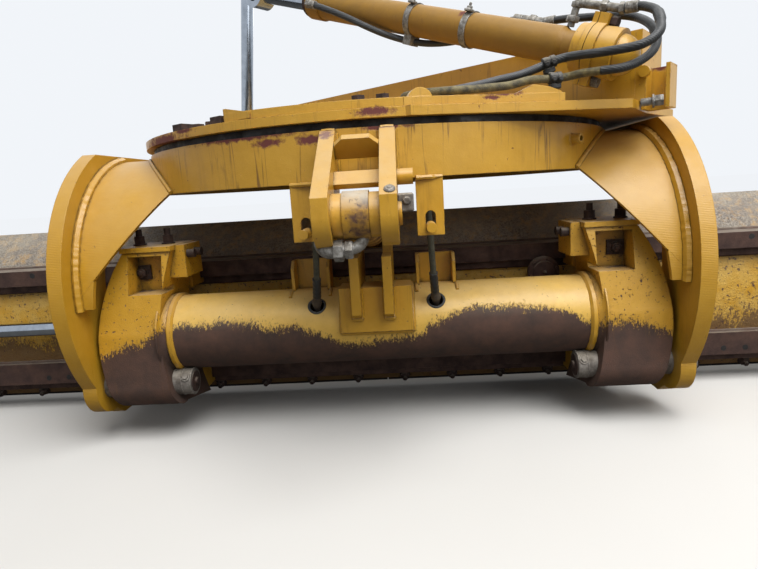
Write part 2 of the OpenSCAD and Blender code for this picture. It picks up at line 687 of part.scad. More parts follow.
// Hoses of the centre-shift cylinder: two loops round the ball's end, then
// side by side along the plate's edge
shift_routes = [
  [[936, -108, 1063], [950, -115, 1055], [966, -127, 1042], [977, -142, 1024], [983, -160, 1002],
    [979, -176, 982], [962, -190, 968], [935, -199, 962], [900, -204, 961], [862, -205, 963],
    [820, -202, 967], [786, -202, 968], [757, -216, 962], [732, -236, 950], [700, -271, 935],
    [669, -312, 925], [637, -351, 915], [605, -390, 907], [570, -423, 901], [540, -437, 900],
    [514, -436, 899], [506, -412, 893], [506, -392, 888], [506, -370, 888]],
  [[684, -31, 1104], [724, -34, 1099], [763, -36, 1092], [808, -38, 1084], [856, -42, 1075],
    [902, -52, 1057], [941, -84, 1027], [963, -112, 991], [962, -138, 958], [942, -170, 934],
    [914, -198, 922], [870, -208, 922], [824, -208, 924], [790, -208, 922], [758, -234, 920],
    [727, -273, 919], [696, -314, 908], [665, -354, 904], [635, -394, 901], [605, -433, 900],
    [564, -458, 900], [528, -470, 900], [494, -462, 900], [474, -436, 892], [468, -400, 888],
    [468, -370, 888]]];
module shift_hoses() color([0.1, 0.1, 0.1]) at_bar()
  for (route = shift_routes) hose(route, hose_r, [0, 0, 1]);

// Block on the plate that the two hoses run into
module hose_ports() color([0.3, 0.28, 0.25]) at_bar() translate([440, -370, plate_top]) cube([94, 44, 42]);

module drive_gearbox() color([0.66, 0.5, 0.22]) at_bar() translate([0, pinion_at, plate_top]) difference() {
  union() {
    cylinder(r = 165, h = 24);
    cylinder(r = 135, h = 160);
    translate([90, -150, 40]) cube([90, 300, 96]);
  }
  translate([0, 0, -1]) cylinder(r = pinion_shaft_r + shaft_play, h = 60);
}
module drive_motor() color([0.25, 0.24, 0.22]) at_bar() translate([135, pinion_at + 150, plate_top + 88])
  rotate([-90, 0, 0]) cylinder(r = 46, h = 170);

// Lift cylinder of the left side, drawn upright and leaned inwards at its ball
module at_lift() at_bar() translate([-lift_u, lift_v, lift_z]) rotate([0, lift_lean, 0]) children();
module lift_rod() color([0.72, 0.72, 0.74]) at_lift() {
  difference() {
    union() {
      translate([0, 0, -30]) cylinder(r = stud_ball_r + 18, h = 82);
      cylinder(r = lift_rod_r, h = lift_gap + 150);
    }
    sphere(r = stud_ball_r + eps);
    translate([0, 0, -60]) cylinder(r = 30, h = 60);
    rotate([0, -lift_lean, 0]) rod_x(0, 120, stud_neck_r + 16);
  }
}
module lift_barrel() color([0.75, 0.58, 0.24]) at_lift() {
  translate([0, 0, lift_gap]) difference() {
    union() {
      cylinder(r = lift_barrel_r, h = lift_len);
      translate([0, -lift_barrel_r - trunnion_out, trunnion_up]) rotate([-90, 0, 0])
        cylinder(r = trunnion_r, h = 2 * (lift_barrel_r + trunnion_out));
    }
    translate([0, 0, -1]) cylinder(r = lift_rod_r + 0.1, h = 100);
    translate([0, 0, 70]) cylinder(r = lift_barrel_r - 9, h = lift_len - 100);
  }
}

// Centre-shift cylinder, drawn along -X from its ball and raised
module at_mid() at_bar() translate([mid_u, mid_v, mid_z]) rotate([0, mid_rise, 0]) children();
cap_r = stud_ball_r + 22;
module centre_cap() color([0.66, 0.5, 0.22]) at_mid() {
  difference() {
    union() {
      rod_x(-78, 26, cap_r);
      translate([26, 0, 0]) sphere(r = cap_r - 12);
      // Split flange with two bolting ears
      rod_x(-56, -18, cap_r + 6);
      translate([-56, -26, -84]) cube([38, 52, 168]);
    }
    sphere(r = stud_ball_r + eps);
    rotate([-90, 0, 0]) cylinder(r = 36, h = 120);
    translate([-43, 0, 0]) rod_x(0, 1.5, 200);
  }
  translate([-43, 0, 0]) rod_x(0, 1.5, cap_r - 4);
  for (z = [-68, 68]) translate([0, 0, z]) {
    translate([-18, 0, 0]) rotate([0, 90, 0]) cylinder(r = 13, h = 15, $fn = 6);
    rod_x(-43, -41.5, 8);
  }
}
module centre_barrel() color([0.74, 0.57, 0.24]) at_mid() difference() {
  union() {
    rod_x(-mid_len, -125, mid_barrel_r);
    rod_x(-mid_len - 14, -mid_len + 44, mid_barrel_r + 5);
    // Neck turned down to the cap
    translate([-125, 0, 0]) rotate([0, 90, 0]) cylinder(r1 = mid_barrel_r, r2 = mid_barrel_r - 8, h = 12);
    rod_x(-113, -78, mid_barrel_r - 8);
  }
  rod_x(-mid_len - 20, -mid_len + 80, mid_rod_r + 0.1);
  rod_x(-mid_len + 60, -140, mid_barrel_r - 8);
}
module centre_rod() color([0.72, 0.72, 0.74]) at_mid() {
  difference() {
    union() {
      rod_x(-mid_len - mid_out + 30, -mid_len + 200, mid_rod_r);
      translate([-mid_len - mid_out, 0, 0]) rotate([90, 0, 0]) cylinder(r = 52, h = 70, center = true);
    }
    translate([-mid_len - mid_out, 0, 0]) rotate([90, 0, 0]) cylinder(r = 30, h = 80, center = true);
  }
}

// Steel bands and ports on the barrel: the elbow above the cap, the coupling
// on its far side, and the port beside the gland
band_at = [-616, -410];
module barrel_fittings() color([0.6, 0.6, 0.6]) at_mid() difference() {
  union() {
    for (x = band_at) rod_x(x - 10, x + 10, mid_barrel_r + 3);
    translate([band_at[0] - 14, -22, -mid_barrel_r - 26]) cube([28, 44, 30]);
    translate([-118, 0, 0]) cylinder(r = 9, h = mid_barrel_r + 58);
    translate([0, 0, mid_barrel_r + 54]) rod_x(-122, -3, 10);
    translate([-260, 70, 52]) rod_x(-28, 28, 13);
    translate([-256, 0, 0]) rotate([36.6, 0, 0]) translate([0, 30, -6]) cube([28, 48, 12]);
    translate([-mid_len + 24, -mid_barrel_r - 18, -8]) rotate([-90, 0, 0]) cylinder(r = 10, h = 40);
  }
  rod_x(-mid_len - 14, -100, mid_barrel_r + fit);
  rod_x(-mid_len - 15, -mid_len + 44, mid_barrel_r + 5 + fit);
}
barrel_route = [[-1022, -74, -10], [-980, -74, -12], [-940, -72, -16], [-890, -68, -22], [-830, -60, -32],
  [-770, -48, -44], [-710, -32, -54], [-660, -14, -59], [-616, 0, -60], [-570, 22, -56], [-520, 44, -44],
  [-470, 60, -26], [-420, 66, 0], [-370, 69, 28], [-330, 70, 46], [-288, 70, 52]];
module barrel_hose() color([0.1, 0.1, 0.1]) at_mid() hose(barrel_route, hose_r - 2, [0, 1, 0.3]);

drawbar_beams();
drawbar_nose();
yoke_plate();
yoke_rim();
cross_beam();
side_brackets();
circle_shoes();
wear_strip();
shoe_bolts();
ball_studs();
drive_gearbox();
drive_motor();
shift_hoses();
hose_ports();
pinion();
circle_ring();
arm_left();
arm_right();
arm_web_left();
arm_web_right();
tip_clevis();
hose_brackets();
beam_tube();
beam_end_left();
beam_end_right();
beam_lugs();
pivot_pins();
end_studs();
rail_shoes();
hose_guides();
tilt_hoses();
side_barrel();
moldboard();
upper_rail();
lower_rail();
cutting_edges();
end_bits();
side_rod();
tip_barrel();
tip_rod();
lift_rod();
lift_barrel();
centre_cap();
centre_barrel();
barrel_fittings();
barrel_hose();
centre_rod();
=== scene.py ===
# %% [markdown]
# # The blade group of a motor grader
# A grader carries its blade under its middle. A drawbar holds a toothed circle, two curved arms reach
# down from the circle, and a round beam between the arms carries the moldboard. The imported model already
# has every rigid piece where it belongs, so this lesson is about looks: worn enamel, rust where gravel
# rubs, weld beads, bolts, hoses and dirt. The first cell loads the model.

# %% Load the imported model
import math
import random

import bpy
from mathutils import Matrix, Vector, noise


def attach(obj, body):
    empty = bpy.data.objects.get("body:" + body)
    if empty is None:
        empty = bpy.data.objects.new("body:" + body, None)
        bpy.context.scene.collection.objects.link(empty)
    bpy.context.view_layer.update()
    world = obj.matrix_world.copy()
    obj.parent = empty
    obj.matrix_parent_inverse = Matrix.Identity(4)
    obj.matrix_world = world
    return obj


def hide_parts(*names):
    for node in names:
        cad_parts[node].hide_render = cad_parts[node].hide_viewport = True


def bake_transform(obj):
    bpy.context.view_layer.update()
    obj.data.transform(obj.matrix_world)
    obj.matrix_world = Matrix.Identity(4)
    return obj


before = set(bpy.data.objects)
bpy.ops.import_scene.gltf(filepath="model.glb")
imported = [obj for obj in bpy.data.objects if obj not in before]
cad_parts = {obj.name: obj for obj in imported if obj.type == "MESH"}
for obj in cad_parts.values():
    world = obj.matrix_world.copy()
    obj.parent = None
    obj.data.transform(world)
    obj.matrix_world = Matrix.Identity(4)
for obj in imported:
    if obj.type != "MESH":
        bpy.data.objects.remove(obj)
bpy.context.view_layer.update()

# %% [markdown]
# ## Two sets of axes
# The model's origin is the drawbar's front ball. Measurements are easier from the circle's axis, so
# one helper turns blade millimetres (X along the blade, Y ahead, Z above the cutting edge) into the
# model's metres, and a second one does the same for the drawbar, which is swung to the right.

# %% Blade axes and drawbar axes
SWING, DRAWBAR_LENGTH, BALL_HEIGHT = math.radians(38), 2300, 926
FRONT_BALL = Vector((DRAWBAR_LENGTH * math.sin(SWING), DRAWBAR_LENGTH * math.cos(SWING), BALL_HEIGHT))


def blade(x, y, z):
    """A point in blade millimetres, as metres in the model's axes."""
    return (Vector((x, y, z)) - FRONT_BALL) / 1000


def drawbar(u, v, z):
    """A point in drawbar millimetres, u to the right and v towards the ball."""
    x = u * math.cos(SWING) + v * math.sin(SWING)
    y = -u * math.sin(SWING) + v * math.cos(SWING)
    return blade(x, y, z)


def at_height(z):
    """A height in blade millimetres, in the model's metres."""
    return blade(0, 0, z).z


BALL_U, BALL_V, BALL_Z, SHIFT_RISE = 852, -100, 978, math.radians(19.8)


def shift_axis(s, v, h):
    """A point beside the centre-shift cylinder: s along it from its ball, h square to it."""
    u = BALL_U - s * math.cos(SHIFT_RISE) + h * math.sin(SHIFT_RISE)
    z = BALL_Z + s * math.sin(SHIFT_RISE) + h * math.cos(SHIFT_RISE)
    return drawbar(u, BALL_V + v, z)


print("circle's axis at", [round(c, 3) for c in blade(0, 0, 0)])

# %% [markdown]
# ## Camera
# The photograph is taken from low behind the blade with a wide lens, a little to the right of the middle
# and rolled a few degrees. Rotating the camera by its three angles keeps that view; the lens alone sets
# how much of the blade's ends shows.

# %% Camera behind the blade
YAW, PITCH, ROLL = (math.radians(a) for a in (-3.20, -10.02, -3.55))
FOCAL_PIXELS, IMAGE_WIDTH, SENSOR_WIDTH = 546.18, 758, 36
CAMERA_PLACE = blade(92.2, -2044.4, 688.3)
ahead = Vector((math.sin(YAW) * math.cos(PITCH), math.cos(YAW) * math.cos(PITCH), math.sin(PITCH)))
level = Vector((math.cos(YAW), -math.sin(YAW), 0))
upright = level.cross(ahead)
right = math.cos(ROLL) * level + math.sin(ROLL) * upright
up = math.cos(ROLL) * upright - math.sin(ROLL) * level
lens = bpy.data.cameras.new("camera")
lens.sensor_width = SENSOR_WIDTH
lens.lens = FOCAL_PIXELS / IMAGE_WIDTH * SENSOR_WIDTH
lens.clip_end = 200
camera = bpy.data.objects.new("camera", lens)
turn = Matrix((right, up, -ahead)).transposed().to_4x4()
camera.matrix_world = Matrix.Translation(CAMERA_PLACE) @ turn
bpy.context.scene.collection.objects.link(camera)
bpy.context.scene.camera = camera
bpy.context.scene.view_settings.view_transform = "Standard"
print("lens", round(lens.lens, 2), "mm")

# %% [markdown]
# ## Meshes from rows of points
# Bolts, weld beads and hoses are all rings of points joined into walls. One small builder collects the
# walls of many such pieces into a single mesh, so that a row of twenty nuts is one object.


# %% A builder for lathe-like and swept pieces
class Shape:
    """Collects rings of points and the faces between them."""

    def __init__(self):
        self.points = []
        self.faces = []

    def ring(self, points):
        first = len(self.points)
        self.points += points
        return list(range(first, len(self.points)))

    def wall(self, a, b):
        count = len(a)
        self.faces += [(a[i], a[(i + 1) % count], b[(i + 1) % count], b[i]) for i in range(count)]

    def lid(self, ring, flip=False):
        self.faces.append(tuple(reversed(ring)) if flip else tuple(ring))

    def stack(self, rings):
        """Walls through all rings and a lid on each end."""
        ids = [self.ring(r) for r in rings]
        for a, b in zip(ids, ids[1:]):
            self.wall(a, b)
        self.lid(ids[0], flip=True)
        self.lid(ids[-1])


def sideways(axis):
    """Two directions square to an axis and to each other."""
    spare = Vector((0, 0, 1)) if abs(axis.z) < 0.9 else Vector((1, 0, 0))
    across = axis.cross(spare).normalized()
    return across, axis.cross(across).normalized()


def circle_of(centre, axis, radius, sides, start=0.0):
    """A ring of points round an axis."""
    a, b = sideways(axis)
    angles = [start + 2 * math.pi * i / sides for i in range(sides)]
    return [centre + radius * (math.cos(t) * a + math.sin(t) * b) for t in angles]


print("builder ready")

# %% [markdown]
# ## One way to finish every added piece
# Each added piece needs a mesh, a material and the body it moves with. Doing this in one function means
# that no piece is forgotten, and curved walls are shaded smooth while real corners stay crisp.

# %% Turn a shape into a piece that rides on a body
added = {}
SHARP_CORNER = math.radians(38)


def finish_piece(name, shape, body, material):
    """An object from a shape, with its material and, if one is given, its body."""
    mesh = bpy.data.meshes.new(name)
    mesh.from_pydata(shape.points, [], shape.faces)
    mesh.validate()
    mesh.shade_smooth()
    mesh.set_sharp_from_angle(angle=SHARP_CORNER)
    piece = bpy.data.objects.new(name, mesh)
    bpy.context.scene.collection.objects.link(piece)
    mesh.materials.append(material)
    if body:
        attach(piece, body)
    added[name] = len(mesh.polygons)
    return piece


# %% [markdown]
# ## Hoses and rods along a route
# A hose is a circle carried along a smooth curve. Its route is a short list of given points, and a
# Catmull-Rom curve rounds it. The ring's axes are carried from point to point, so the hose never twists.


# %% Smooth routes and sweeps
def smooth_route(points, steps=8):
    """A Catmull-Rom curve through the points."""
    ends = [2 * points[0] - points[1]] + list(points) + [2 * points[-1] - points[-2]]
    route = []
    for i in range(1, len(ends) - 2):
        a, b, c, d = ends[i - 1:i + 3]
        for k in range(steps):
            t = k / steps
            route.append(0.5 * (2 * b + (c - a) * t + (2 * a - 5 * b + 4 * c - d) * t * t
                                + (3 * b - a - 3 * c + d) * t ** 3))
    return route + [points[-1]]


def sweep(shape, route, radius, sides=14):
    """A closed tube; radius is a length, or a function of the ring's number and angle."""
    last = len(route) - 1
    across = None
    rings = []
    for i, point in enumerate(route):
        way = (route[min(i + 1, last)] - route[max(i - 1, 0)]).normalized()
        across = sideways(way)[0] if across is None else (across - across.dot(way) * way).normalized()
        other = way.cross(across)
        ring = []
        for k in range(sides):
            angle = 2 * math.pi * k / sides
            size = radius(i, angle) if callable(radius) else radius
            ring.append(point + size * (math.cos(angle) * across + math.sin(angle) * other))
        rings.append(ring)
    shape.stack(rings)


# %% [markdown]
# ## Bolts, nuts and washers
# A rolled hexagon with a chamfered crown reads as a bolt even when it is small. Each head is turned by a
# random angle from a fixed seed, because no fitter lines them up.

# %% Bolt heads and washers
dice = random.Random(7)


def disc(shape, centre, axis, radius, height, edge=0.0015, sides=28):
    """A turned disc with a small chamfer on its far edge."""
    shape.stack([circle_of(centre, axis, radius, sides),
                 circle_of(centre + axis * (height - edge), axis, radius, sides),
                 circle_of(centre + axis * height, axis, radius - edge, sides)])


def bolt(shape, centre, axis, size, washer=True, stud=0.0):
    """A hexagon head or nut of the given half width; stud adds a threaded end."""
    axis = axis.normalized()
    start = dice.uniform(0, math.pi / 3)
    if washer:
        disc(shape, centre, axis, size * 1.28, size * 0.18)
        centre = centre + axis * size * 0.18
    tall = size * 0.85
    shape.stack([circle_of(centre, axis, size * 1.12, 6, start),
                 circle_of(centre + axis * tall * 0.82, axis, size * 1.12, 6, start),
                 circle_of(centre + axis * tall, axis, size * 0.93, 6, start)])
    if stud:
        disc(shape, centre + axis * tall * 0.9, axis, size * 0.52, stud, sides=16)


# %% [markdown]
# ## Weld beads
# Every plate of this group is joined by fillet welds, and their ripples catch the light along each seam.
# A bead is a thin sweep whose radius swells and shrinks every few millimetres. A texture could fake it,
# but at the edges of the plates the bead's outline shows.


# %% A rippled weld bead
def weld(shape, points, radius=0.006, ripple=0.005):
    """A bead along a route given by points, with two rings to each ripple, in metres."""
    length = sum((b - a).length for a, b in zip(points, points[1:]))
    steps = max(2, round(length / (len(points) - 1) / ripple * 2))
    route = smooth_route(points, steps)
    seed = dice.uniform(0, 50)

    def bead(i, angle):
        wander = noise.noise(Vector((seed, i * 0.35, angle)))
        return radius * (0.98 + 0.03 * (i % 2) + 0.14 * wander)

    sweep(shape, route, bead, sides=7)


print("helpers ready")

# %% [markdown]
# ## Node helpers
# Materials are node trees, and a few helpers keep their making short. One fills or links a socket, one
# adds a node, one starts a node group with named sockets, and the rest are nodes that come up often.


# %% Adding nodes and groups
def colour(red, green, blue):
    """A colour on screen from 0 to 255, as the linear values that shaders expect."""
    return tuple((c / 255 / 12.92) if c < 11 else ((c / 255 + 0.055) / 1.055) ** 2.4
                 for c in (red, green, blue)) + (1,)


def put(tree, value, socket):
    """Links a socket to another one, or sets its value."""
    if isinstance(value, bpy.types.NodeSocket):
        tree.links.new(value, socket)
    else:
        socket.default_value = value


def add(tree, kind, values=(), **settings):
    """Adds a shader node; a value that is a socket is linked."""
    item = tree.nodes.new("ShaderNode" + kind)
    for key, value in settings.items():
        setattr(item, key, value)
    for key, value in dict(values).items():
        put(tree, value, item.inputs[key])
    return item


def maths(tree, operation, *values, clamp=False):
    """A Math node's output."""
    return add(tree, "Math", dict(enumerate(values)), operation=operation, use_clamp=clamp).outputs[0]


def blend_colour(tree, share, below, above):
    """One colour laid over another by a mask."""
    return add(tree, "Mix", {0: share, 6: below, 7: above}, data_type="RGBA").outputs[2]


def along_axis(tree, vector, axis):
    """One coordinate of a vector."""
    return add(tree, "SeparateXYZ", {"Vector": vector}).outputs[axis]


def stretched(tree, vector, factors):
    """Coordinates multiplied axis by axis, which draws a pattern out or packs it."""
    return add(tree, "VectorMath", {0: vector, 1: factors}, operation="MULTIPLY").outputs[0]


def start_group(name, inputs, outputs):
    """A node group: inputs are (label, kind, value), outputs are (label, kind)."""
    tree = bpy.data.node_groups.new(name, "ShaderNodeTree")
    for label, kind, value in inputs:
        socket = tree.interface.new_socket(label, in_out="INPUT", socket_type="NodeSocket" + kind)
        if value is not None:
            socket.default_value = value
    for label, kind in outputs:
        tree.interface.new_socket(label, in_out="OUTPUT", socket_type="NodeSocket" + kind)
    return tree, tree.nodes.new("NodeGroupInput").outputs, tree.nodes.new("NodeGroupOutput").inputs


def use(tree, group, values=()):
    """Places a group in a tree and returns its outputs."""
    return add(tree, "Group", values, node_tree=group).outputs


def facing_up(tree):
    """How far the surface faces the sky, from -1 to 1."""
    return along_axis(tree, add(tree, "NewGeometry").outputs["Normal"], "Z")


# %% [markdown]
# ## Effect: patches
# Chips, dust, rust bloom and dirt all come in patches with ragged borders. This group turns a noise into a
# mask whose coverage can be dialled from none to all, so each effect only names how much it wants.

# %% The patches group
patches, ins, outs = start_group("patches", [
    ("Vector", "Vector", None), ("Size", "Float", 0.1), ("Coverage", "Float", 0.5),
    ("Hardness", "Float", 12.0)], [("Mask", "Float")])
cloud = add(patches, "TexNoise", {
    "Vector": ins["Vector"], "Scale": maths(patches, "DIVIDE", 1.0, ins["Size"]),
    "Detail": 8.0, "Roughness": 0.66})
level_of = maths(patches, "MULTIPLY_ADD", ins["Coverage"], -0.5, 0.75)
above = maths(patches, "SUBTRACT", cloud.outputs["Fac"], level_of)
put(patches, maths(patches, "MULTIPLY_ADD", above, ins["Hardness"], 0.5, clamp=True), outs["Mask"])


def patch_mask(tree, place, size, coverage, hardness):
    """The mask of the patches group, placed in a tree."""
    return use(tree, patches, {"Vector": place, "Size": size, "Coverage": coverage,
                               "Hardness": hardness})["Mask"]


print("group", patches.name)

# %% [markdown]
# ## Effect: worn edges
# Paint leaves a machine first at its corners. The Bevel node rounds the normal near an edge, so where it
# differs from the flat normal there is a corner. A noise breaks the line, or it would look drawn.

# %% The worn edges group
worn_edges, ins, outs = start_group("worn edges", [
    ("Vector", "Vector", None), ("Width", "Float", 0.006), ("Amount", "Float", 0.5)],
    [("Mask", "Float")])
rounded = add(worn_edges, "Bevel", {"Radius": ins["Width"]}, samples=4)
flat = add(worn_edges, "NewGeometry")
alike = add(worn_edges, "VectorMath", {0: rounded.outputs["Normal"], 1: flat.outputs["Normal"]},
            operation="DOT_PRODUCT")
corner = maths(worn_edges, "MULTIPLY", maths(worn_edges, "SUBTRACT", 1.0, alike.outputs["Value"]), 7.0,
               clamp=True)
broken = add(worn_edges, "TexNoise", {"Vector": ins["Vector"], "Scale": 38.0, "Detail": 6.0,
                                      "Roughness": 0.7})
wanted = maths(worn_edges, "MULTIPLY_ADD", ins["Amount"], -0.7, 0.86)
bitten = maths(worn_edges, "MULTIPLY", corner, broken.outputs["Fac"])
edge_mask = maths(worn_edges, "MULTIPLY", maths(worn_edges, "SUBTRACT", bitten, wanted), 9.0, clamp=True)
put(worn_edges, edge_mask, outs["Mask"])
print("group", worn_edges.name)

# %% [markdown]
# ## Effect: rubbed below a line
# Gravel that rolls under the blade scours the lower half of the beam and of the castings. The enamel ends
# in a band of upright streaks, with islands of paint below it and bare chips above it. So a streaky noise
# is weighed against the height above the line, and the wider the band, the further the islands reach.

# %% The scoured group
scoured, ins, outs = start_group("scoured", [
    ("Vector", "Vector", None), ("Height", "Float", 0.0), ("Band", "Float", 0.03),
    ("Softness", "Float", 0.012)], [("Mask", "Float")])
upright_streaks = stretched(scoured, ins["Vector"], (170.0, 170.0, 70.0))
scratches = add(scoured, "TexNoise", {"Vector": upright_streaks, "Scale": 1.0, "Detail": 9.0,
                                      "Roughness": 0.78})
sway = add(scoured, "TexNoise", {"Vector": ins["Vector"], "Scale": 9.0, "Detail": 5.0, "Roughness": 0.6})
ragged = maths(scoured, "MULTIPLY", maths(scoured, "SUBTRACT", scratches.outputs["Fac"], 0.5),
               maths(scoured, "MULTIPLY", ins["Band"], 4.6))
swayed = maths(scoured, "MULTIPLY_ADD", maths(scoured, "SUBTRACT", sway.outputs["Fac"], 0.5),
               maths(scoured, "MULTIPLY", ins["Band"], 3.0), ragged)
line = maths(scoured, "ADD", ins["Height"], swayed)
below = maths(scoured, "SUBTRACT", line, along_axis(scoured, ins["Vector"], "Z"))
put(scoured, maths(scoured, "ADD", maths(scoured, "DIVIDE", below, ins["Softness"]), 0.5, clamp=True),
    outs["Mask"])
print("group", scoured.name)

# %% [markdown]
# ## Effect: scuff spots
# Where a chain or another piece once rubbed, the enamel is gone in a lens-shaped spot, down to the purple
# brown primer. The mask is an ellipsoid about a chosen point with a noisy border.

# %% The scuff group
scuff, ins, outs = start_group("scuff spot", [
    ("Vector", "Vector", None), ("Centre", "Vector", None), ("Reach", "Vector", (0.05, 0.05, 0.02))],
    [("Mask", "Float")])
offset = add(scuff, "VectorMath", {0: ins["Vector"], 1: ins["Centre"]}, operation="SUBTRACT")
scaled = add(scuff, "VectorMath", {0: offset.outputs[0], 1: ins["Reach"]}, operation="DIVIDE")
far = add(scuff, "VectorMath", {0: scaled.outputs[0]}, operation="LENGTH")
bite = add(scuff, "TexNoise", {"Vector": ins["Vector"], "Scale": 55.0, "Detail": 6.0, "Roughness": 0.7})
inside = maths(scuff, "SUBTRACT", maths(scuff, "MULTIPLY_ADD", bite.outputs["Fac"], 2.4, -0.3),
               far.outputs["Value"])
put(scuff, maths(scuff, "MULTIPLY", inside, 2.0, clamp=True), outs["Mask"])
print("group", scuff.name)

# %% [markdown]
# ## Effect: settled dust
# Dust lies on what faces the sky and hardly at all on upright walls. The surface normal's upward part
# times a patch noise gives that.

# %% The settled dust group
settled_dust, ins, outs = start_group("settled dust", [
    ("Vector", "Vector", None), ("Amount", "Float", 0.5), ("Size", "Float", 0.12)], [("Mask", "Float")])
skyward = maths(settled_dust, "MULTIPLY_ADD", facing_up(settled_dust), 1.6, -0.35, clamp=True)
clouds = patch_mask(settled_dust, ins["Vector"], ins["Size"], 0.62, 3.0)
film = maths(settled_dust, "MULTIPLY", skyward, maths(settled_dust, "MULTIPLY_ADD", clouds, 0.75, 0.25))
put(settled_dust, maths(settled_dust, "MULTIPLY", film, ins["Amount"], clamp=True), outs["Mask"])
print("group", settled_dust.name)

# %% [markdown]
# ## Effect: rain runs
# Rain washes grease and rust down upright walls in thin lines. A noise that changes quickly sideways and
# slowly upwards has contour lines that run down the wall, and where it crosses one value is a line. A
# patch noise ends each line at its own height, and sloping plates get none, because there the contours
# would wander like cracks.

# %% The rain runs group
rain_runs, ins, outs = start_group("rain runs", [
    ("Vector", "Vector", None), ("Pitch", "Float", 0.045), ("Strength", "Float", 0.5)],
    [("Mask", "Float")])
bands = add(rain_runs, "TexNoise", {
    "Vector": stretched(rain_runs, ins["Vector"], (1.0, 1.0, 0.07)),
    "Scale": maths(rain_runs, "DIVIDE", 0.5, ins["Pitch"]), "Detail": 4.0, "Roughness": 0.6})
crossing = maths(rain_runs, "ABSOLUTE", maths(rain_runs, "SUBTRACT", bands.outputs["Fac"], 0.5))
thin = maths(rain_runs, "MULTIPLY_ADD", crossing, -75.0, 1.0, clamp=True)
broad = maths(rain_runs, "MULTIPLY_ADD", bands.outputs["Fac"], 6.0, -3.2, clamp=True)
both = maths(rain_runs, "MULTIPLY_ADD", broad, 0.3, thin)
where = patch_mask(rain_runs, stretched(rain_runs, ins["Vector"], (3.0, 3.0, 1.0)), 0.16, 0.46, 5.0)
slope = maths(rain_runs, "ABSOLUTE", facing_up(rain_runs))
upright_wall = maths(rain_runs, "MULTIPLY_ADD", slope, -6.0, 1.3, clamp=True)
run = maths(rain_runs, "MULTIPLY", both, maths(rain_runs, "MULTIPLY", where, upright_wall))
put(rain_runs, maths(rain_runs, "MULTIPLY", run, ins["Strength"], clamp=True), outs["Mask"])
print("group", rain_runs.name)

# %% [markdown]
# ## Effect: crevice shade and dirt
# Where two pieces meet, a dark line is painted round every lug, spacer and pad: partly the oil and dust
# that collect there, partly painted shade. The Ambient Occlusion node measures how shut in a point is
# within a few millimetres, which is where shade falls and where a rag or the rain doesn't reach.

# %% The crevice shade and dirt group
crevice_shade_and_dirt, ins, outs = start_group("crevice shade and dirt", [
    ("Vector", "Vector", None), ("Reach", "Float", 0.016), ("Amount", "Float", 0.8)], [("Mask", "Float")])
# Painted shade and dirt: the more shut in a point is, the darker it is painted.
shut_in = add(crevice_shade_and_dirt, "AmbientOcclusion", {"Distance": ins["Reach"]}, samples=4, only_local=False)
rough = add(crevice_shade_and_dirt, "TexNoise", {"Vector": ins["Vector"], "Scale": 60.0, "Detail": 4.0})
limit = maths(crevice_shade_and_dirt, "MULTIPLY_ADD", rough.outputs["Fac"], 0.5, 0.46)
closed = maths(crevice_shade_and_dirt, "SUBTRACT", limit, shut_in.outputs["AO"])
closed = maths(crevice_shade_and_dirt, "MULTIPLY", closed, 3.0, clamp=True)
put(crevice_shade_and_dirt, maths(crevice_shade_and_dirt, "MULTIPLY", closed, ins["Amount"], clamp=True), outs["Mask"])
print("group", crevice_shade_and_dirt.name)

# %% [markdown]
# ## Effect: metal skin
# Cast and hot-rolled steel is never flat: it has a fine grain and a slow unevenness that makes its shine
# wobble. The group puts out a height for a Bump node.

# %% The metal skin group
metal_skin, ins, outs = start_group("metal skin", [
    ("Vector", "Vector", None), ("Grain", "Float", 0.003), ("Roughcast", "Float", 0.5)],
    [("Height", "Float")])
fine = add(metal_skin, "TexNoise", {
    "Vector": ins["Vector"], "Scale": maths(metal_skin, "DIVIDE", 1.0, ins["Grain"]), "Detail": 3.0})
slow = add(metal_skin, "TexNoise", {"Vector": ins["Vector"], "Scale": 14.0, "Detail": 4.0})
unevenness = maths(metal_skin, "MULTIPLY", slow.outputs["Fac"], 3.0)
put(metal_skin, maths(metal_skin, "MULTIPLY_ADD", fine.outputs["Fac"], ins["Roughcast"], unevenness),
    outs["Height"])
print("group", metal_skin.name)

# %% [markdown]
# ## Worn construction enamel
# Most of the group is yellow enamel at different stages of wear. One function lays the stages over each
# other in the order in which they happen: faded paint, bare primer at edges and chips, scoured steel
# below a line, rain runs, dust. Each material gives its own amounts. This cell names the colours first,
# and makes two helpers that every finish uses.

# %% Colours, a new material and its relief
YELLOW = colour(200, 149, 32)
PALE_YELLOW = colour(211, 172, 86)
DEEP_YELLOW = colour(172, 124, 14)
# A lighter yellow for the beam's tube: painted light, for the tube's bright top.
LIT_TUBE_YELLOW = colour(234, 190, 86)
ARM_YELLOW = colour(190, 141, 30)
# A darker yellow for the cylinders: painted shade, for the shade of the machine's frame above them.
SHADED_CYLINDER_YELLOW = colour(128, 92, 24)
PRIMER = colour(104, 52, 46)
RUST = colour(86, 60, 48)
DARK_RUST = colour(58, 43, 36)
DUST = colour(188, 178, 160)
# Brown black of oil and dust in crevices, also laid on there as painted shade.
SHADE_AND_SOOT = colour(44, 33, 22)
RUN_BROWN = colour(104, 70, 30)
# Black of grease, also used as the painted shade of the rails' holes.
GREASE_AND_SHADE_BLACK = colour(30, 27, 25)


def start_material(name):
    """A material with its Principled shader and object coordinates."""
    material = bpy.data.materials.new(name)
    material.use_nodes = True
    tree = material.node_tree
    shader = tree.nodes["Principled BSDF"]
    return material, tree, shader, add(tree, "TexCoord").outputs["Object"]


ROUNDED_CORNER = 0.0025


